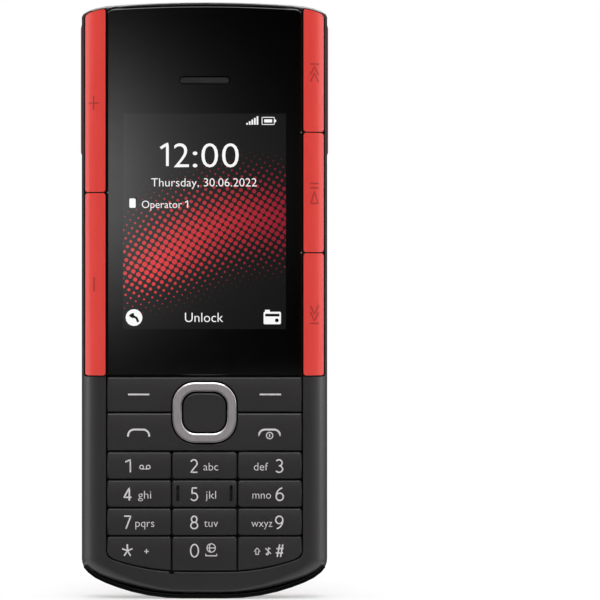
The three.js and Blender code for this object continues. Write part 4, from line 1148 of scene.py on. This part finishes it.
charge = filled([(13.42, 15.22, 107.2, 107.9, 0.1), (15.75, 16.1, 107.25, 107.85, 0.1)])
disc = filled([(-17.75, -13.97, 61.41, 65.19, 1.88)])
wallet = filled([(13.3, 17.2, 61.8, 64.6, 0.3), (13.6, 14.7, 64.4, 65.05, 0.1)])
shown = [clock_one, *clock, date, network, line_one, unlock, card, bars, cell, charge, disc, wallet]
marks("display_signs", shown, SCREEN_WHITE, "phone", above_glass(0.03))
arrow_head = [(-16.75, 63.75), (-16.05, 64.15), (-16.1, 63.35), (-16.75, 63.75)]
arrow_tail = [(-16.0, 63.6), (-15.3, 63.2), (-14.9, 62.3)]
arrow = drawn([arrow_head, arrow_tail], 0.6)
fold = drawn([[(-15.35, 90.2), (-15.35, 89.85), (-15.7, 90.2), (-15.35, 90.2)]], 0.3)
wallet_marks = filled([(13.65, 16.85, 63.55, 64.15, 0), (15.85, 16.7, 62.25, 63.1, 0.4)])
shown = [arrow, fold, wallet_marks]
marks("display_cutouts", shown, SCREEN_BLACK, "phone", above_glass(0.055))


# Grilles: thin ribs in front of a dark plate
def ribs(name, node, count, rib_mm, front, back, cross=0):
    low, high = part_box(node)
    left, right, foot, top = low[0] / MM, high[0] / MM, low[2] / MM, high[2] / MM
    radius = (top - foot) / 2
    half = rib_mm / 2
    work = bmesh.new()
    for i in range(count):
        x = left + (right - left) * (i + 0.5) / count
        past = max(0, abs(x - (left + right) / 2) - ((right - left) / 2 - radius))
        tall = math.sqrt(radius * radius - past * past)
        middle = (foot + top) / 2
        add_block(work, x - half, x + half, middle - tall, middle + tall, front, back)
    for i in range(cross):
        z = foot + (top - foot) * (i + 1) / (cross + 1)
        add_block(work, left + radius / 2, right - radius / 2, z - half, z + half, front, back)
    return attach(name, mesh_of(name, work), GRILLE_BLACK, "phone")


ribs("earpiece_mesh", "earpiece_grille", 26, 0.16, -7.62, -7.54, 3)
ribs("speaker_ribs_upper", "speaker_grille_upper", 27, 0.28, 6.28, 6.42)
ribs("speaker_ribs_lower", "speaker_grille_lower", 27, 0.28, 6.28, 6.42)

# Camera: bezel, window, stepped barrel and a coated front lens with a painted reflection; beside it
# the lamp of the flash
CAMERA = (0, 86.2)
DOME_RADIUS = 1.12
DOME_FOOT = 5.75
DOME_RISE = 0.42
refined("camera_bezel", "bezel_ring", COVER, 0.1)
refined("camera_window", "window_plate", LENS_GLASS, 0.05)
barrel = [(0, 5.78), (1.15, 5.78), (1.3, 5.95), (1.45, 5.95), (1.6, 6.1), (1.85, 6.1), (2.1, 6.28)]
barrel += [(2.42, 6.32), (2.42, 5.9), (0, 5.77)]
turned("lens_barrel", barrel, CAMERA, GLOSS_BLACK, "phone", SLOT_OF["camera_module"])
dome = [
    (DOME_RADIUS * math.sin(math.radians(a)), DOME_FOOT + DOME_RISE * math.cos(math.radians(a)))
    for a in range(0, 91, 10)
]
painted_lens_reflection = lens_with_painted_reflection("lens_glass_coated_painted_reflection", (*CAMERA, 6.1), DOME_RADIUS)
turned("lens_front", dome + [(0, 5.74)], CAMERA, painted_lens_reflection, "phone", SLOT_OF["camera_window"])
FLASH = middle_of("flash_lens")
refined("flash_lens", "flash_rim", FLASH_LENS, 0.15, 3)
phosphor = [(0, 6.7), (0.95, 6.68), (1.0, 6.6), (0, 6.6)]
turned("flash_phosphor", phosphor, FLASH, PHOSPHOR, "phone", SLOT_OF["flash_lens"])
ridges = [(1.06, 6.6)]
for i in range(4):
    ridges += [(1.1 + 0.2 * i, 6.72), (1.26 + 0.2 * i, 6.64)]
ridges += [(1.9, 6.6), (1.06, 6.6)]
turned("flash_ridges", ridges, FLASH, RIM_STEEL, "phone", SLOT_OF["flash_lens"])

# Earbuds, their tips, the letters that tell left from right, and the gold pads that charge them
BUD_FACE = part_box("earbud_left")[1][1] / MM
BUD_X = 11.5
BUD_HEIGHT = 122.1
STEM_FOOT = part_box("earbud_left")[0][2] / MM
PAD_HALF = 1.7
PAD_FROM = 0.1
PAD_TO = 1.55
PAD_DEPTH = -1.4
tray = refined("earbud_tray", "bud_tray", MATT_BLACK, 0.15)
tray.data.materials.append(GOLD)
for face in tray.data.polygons:
    spot = face.center / MM
    beside = abs(abs(spot.x) - BUD_X) < PAD_HALF
    if beside and PAD_FROM < STEM_FOOT - spot.z < PAD_TO and spot.y > PAD_DEPTH:
        face.material_index = 1
for side in ("left", "right"):
    refined("earbud_" + side, "bud_" + side, BUD_RED, 0.2, 3)
    refined("ear_tip_" + side, "tip_" + side, TIP_RUBBER, 0.1, 2, smooth=60)
    place = (-BUD_X if side == "left" else BUD_X, BUD_HEIGHT)
    seam = [(3.86, 6.0), (4.0, 6.03), (4.16, 5.9), (4.1, 5.6), (3.86, 5.8), (3.86, 6.0)]
    turned("bud_ring_" + side, seam, place, RIM_STEEL, "phone", SLOT_OF["nav_ring"])
    letter = lettering(side[0].upper(), -0.5, 0.5, 121.25, 1.7)
    letter.transform(Matrix.Translation((place[0] * MM, 0, 0)) @ Matrix.Diagonal((-1, 1, 1, 1)))
    marks("bud_letter_" + side, [letter], LEGEND, "phone", lambda x, z: BUD_FACE)

# Crossed slots in the heads of the two screws that hold the tray, drawn as thin black films: painted
# shade of the recesses
SCREW_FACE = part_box("screw_upper_left")[1][1] / MM
CROSS_ARM = 0.75
CROSS_PEN = 0.32
slot_shade_lines = []
for node in ("screw_upper_left", "screw_upper_right"):
    x, z = middle_of(node)
    slot_shade_lines += [[(x - CROSS_ARM, z), (x + CROSS_ARM, z)], [(x, z - CROSS_ARM), (x, z + CROSS_ARM)]]
marks(
    "screw_slots_painted_shade",
    [drawn(slot_shade_lines, CROSS_PEN)],
    MATT_BLACK,
    "phone",
    lambda x, z: SCREW_FACE,
)


# Studio floor and surroundings
def studio_floor(half_size):
    made = bpy.data.materials.new("studio_floor_painted_white")
    made.use_nodes = True
    tree = made.node_tree
    tree.nodes.clear()
    ray = add(tree, "ShaderNodeLightPath")
    clear = add(
        tree,
        "ShaderNodeMath",
        {0: ray.outputs["Is Camera Ray"], 1: ray.outputs["Is Transmission Ray"]},
        operation="MAXIMUM",
    )
    place = add(tree, "ShaderNodeTexCoord").outputs["Object"]
    away = add(tree, "ShaderNodeVectorMath", {0: place}, operation="LENGTH")
    # Far from the object the floor turns into the white background, near it the paint takes shadow
    far = add(
        tree,
        "ShaderNodeMapRange",
        {
            "Value": away.outputs["Value"],
            "From Min": 0.06,
            "From Max": 0.45,
            "To Min": 0.45,
            "To Max": 1.0,
        },
        interpolation_type="SMOOTHSTEP",
    )
    share = add(
        tree,
        "ShaderNodeMath",
        {0: clear.outputs[0], 1: far.outputs["Result"], 2: ray.outputs["Is Glossy Ray"]},
        operation="MULTIPLY_ADD",
    )
    # Shiny parts see the floor as they see the studio: white beside the object, dark in front of it
    # and behind it
    split = add(tree, "ShaderNodeSeparateXYZ", {"Vector": place})
    depth = add(tree, "ShaderNodeMath", {0: split.outputs["Y"]}, operation="ABSOLUTE")
    dimmed = add(
        tree,
        "ShaderNodeMapRange",
        {
            "Value": depth.outputs[0],
            "From Min": 0.006,
            "From Max": 0.02,
            "To Min": 0.0,
            "To Max": 0.85,
        },
    )
    strength = add(
        tree,
        "ShaderNodeMath",
        {0: dimmed.outputs["Result"], 1: ray.outputs["Is Glossy Ray"]},
        operation="MULTIPLY",
    )
    strength = add(tree, "ShaderNodeMath", {0: 1.0, 1: strength.outputs[0]}, operation="SUBTRACT")
    paint = add(tree, "ShaderNodeBsdfDiffuse", {"Color": linear("f4f4f4")})
    glow = add(tree, "ShaderNodeEmission", {"Color": WHITE, "Strength": strength.outputs[0]})
    mix = add(
        tree,
        "ShaderNodeMixShader",
        {"Fac": share.outputs[0], 1: paint.outputs[0], 2: glow.outputs[0]},
    )
    add(tree, "ShaderNodeOutputMaterial", {"Surface": mix.outputs[0]})
    work = bmesh.new()
    bmesh.ops.create_grid(work, x_segments=1, y_segments=1, size=half_size)
    floor = bpy.data.objects.new("studio_floor", mesh_of("studio_floor", work))
    scene.collection.objects.link(floor)
    floor.data.materials.append(made)


FLOOR_HALF = 3
studio_floor(FLOOR_HALF)

AMBIENT = 0.32
CARD_X = -0.0235
CARD_Z = 0.0275
CARD_WIDTH = 0.0123
CARD_HEIGHT = 0.0192
CARD_STRENGTH = 2.9


# The studio is white for the eye and even for soft light. Shiny parts see white walls at the sides
# and above, the left one a little greyer, and dark ones in front of the screen and behind the phone.
# In front hangs one small soft card, left of the middle, which gives the glass its glow.
def studio_world():
    world = bpy.data.worlds.new("studio")
    scene.world = world
    world.use_nodes = True
    tree = world.node_tree
    tree.nodes.clear()
    ray = add(tree, "ShaderNodeLightPath")
    split = add(
        tree,
        "ShaderNodeSeparateXYZ",
        {"Vector": add(tree, "ShaderNodeTexCoord").outputs["Generated"]},
    )
    depth = add(tree, "ShaderNodeMath", {0: split.outputs["Y"]}, operation="ABSOLUTE")
    walls = add(
        tree,
        "ShaderNodeMapRange",
        {"Value": depth.outputs[0], "From Min": 0.92, "From Max": 0.25, "To Min": 0.0, "To Max": 1.0},
        interpolation_type="SMOOTHSTEP",
    )
    left_side = add(
        tree,
        "ShaderNodeMapRange",
        {"Value": split.outputs["X"], "From Min": -0.9, "From Max": 0.3, "To Min": 0.6, "To Max": 1.0},
    )
    sides = add(
        tree,
        "ShaderNodeMath",
        {0: walls.outputs["Result"], 1: left_side.outputs["Result"]},
        operation="MULTIPLY",
    )
    ceiling = add(
        tree,
        "ShaderNodeMapRange",
        {"Value": split.outputs["Z"], "From Min": 0.2, "From Max": 0.75, "To Min": 0.0, "To Max": 1.0},
        interpolation_type="SMOOTHSTEP",
    )
    walls = add(
        tree,
        "ShaderNodeMath",
        {0: sides.outputs[0], 1: ceiling.outputs["Result"]},
        operation="MAXIMUM",
    )
    card_x = add(tree, "ShaderNodeMath", {0: split.outputs["X"], 1: CARD_X}, operation="SUBTRACT")
    card_x = add(tree, "ShaderNodeMath", {0: card_x.outputs[0]}, operation="ABSOLUTE")
    card_x = add(
        tree,
        "ShaderNodeMath",
        {0: card_x.outputs[0], 1: -1 / CARD_WIDTH},
        operation="MULTIPLY",
    )
    card_z = add(tree, "ShaderNodeMath", {0: split.outputs["Z"], 1: CARD_Z}, operation="SUBTRACT")
    card_z = add(tree, "ShaderNodeMath", {0: card_z.outputs[0], 1: 2}, operation="POWER")
    card_z = add(
        tree,
        "ShaderNodeMath",
        {0: card_z.outputs[0], 1: -0.5 / CARD_HEIGHT**2, 2: card_x.outputs[0]},
        operation="MULTIPLY_ADD",
    )
    card = add(tree, "ShaderNodeMath", {0: card_z.outputs[0]}, operation="EXPONENT")
    ahead = add(tree, "ShaderNodeMath", {0: split.outputs["Y"], 1: 0}, operation="LESS_THAN")
    card = add(
        tree, "ShaderNodeMath", {0: card.outputs[0], 1: ahead.outputs[0]}, operation="MULTIPLY"
    )
    mirrored = add(
        tree,
        "ShaderNodeMath",
        {0: card.outputs[0], 1: CARD_STRENGTH, 2: walls.outputs[0]},
        operation="MULTIPLY_ADD",
    )
    mirrored = add(
        tree, "ShaderNodeBackground", {"Color": WHITE, "Strength": mirrored.outputs[0]}
    )
    ambient = add(tree, "ShaderNodeBackground", {"Color": WHITE, "Strength": AMBIENT})
    white = add(tree, "ShaderNodeBackground", {"Color": WHITE, "Strength": 1})
    glossy = add(
        tree,
        "ShaderNodeMixShader",
        {"Fac": ray.outputs["Is Glossy Ray"], 1: ambient.outputs[0], 2: mirrored.outputs[0]},
    )
    direct = add(
        tree,
        "ShaderNodeMath",
        {0: ray.outputs["Is Camera Ray"], 1: ray.outputs["Is Transmission Ray"]},
        operation="MAXIMUM",
    )
    seen = add(
        tree,
        "ShaderNodeMixShader",
        {"Fac": direct.outputs[0], 1: glossy.outputs[0], 2: white.outputs[0]},
    )
    add(tree, "ShaderNodeOutputWorld", {"Surface": seen.outputs[0]})


studio_world()

scene.view_settings.view_transform = "Standard"
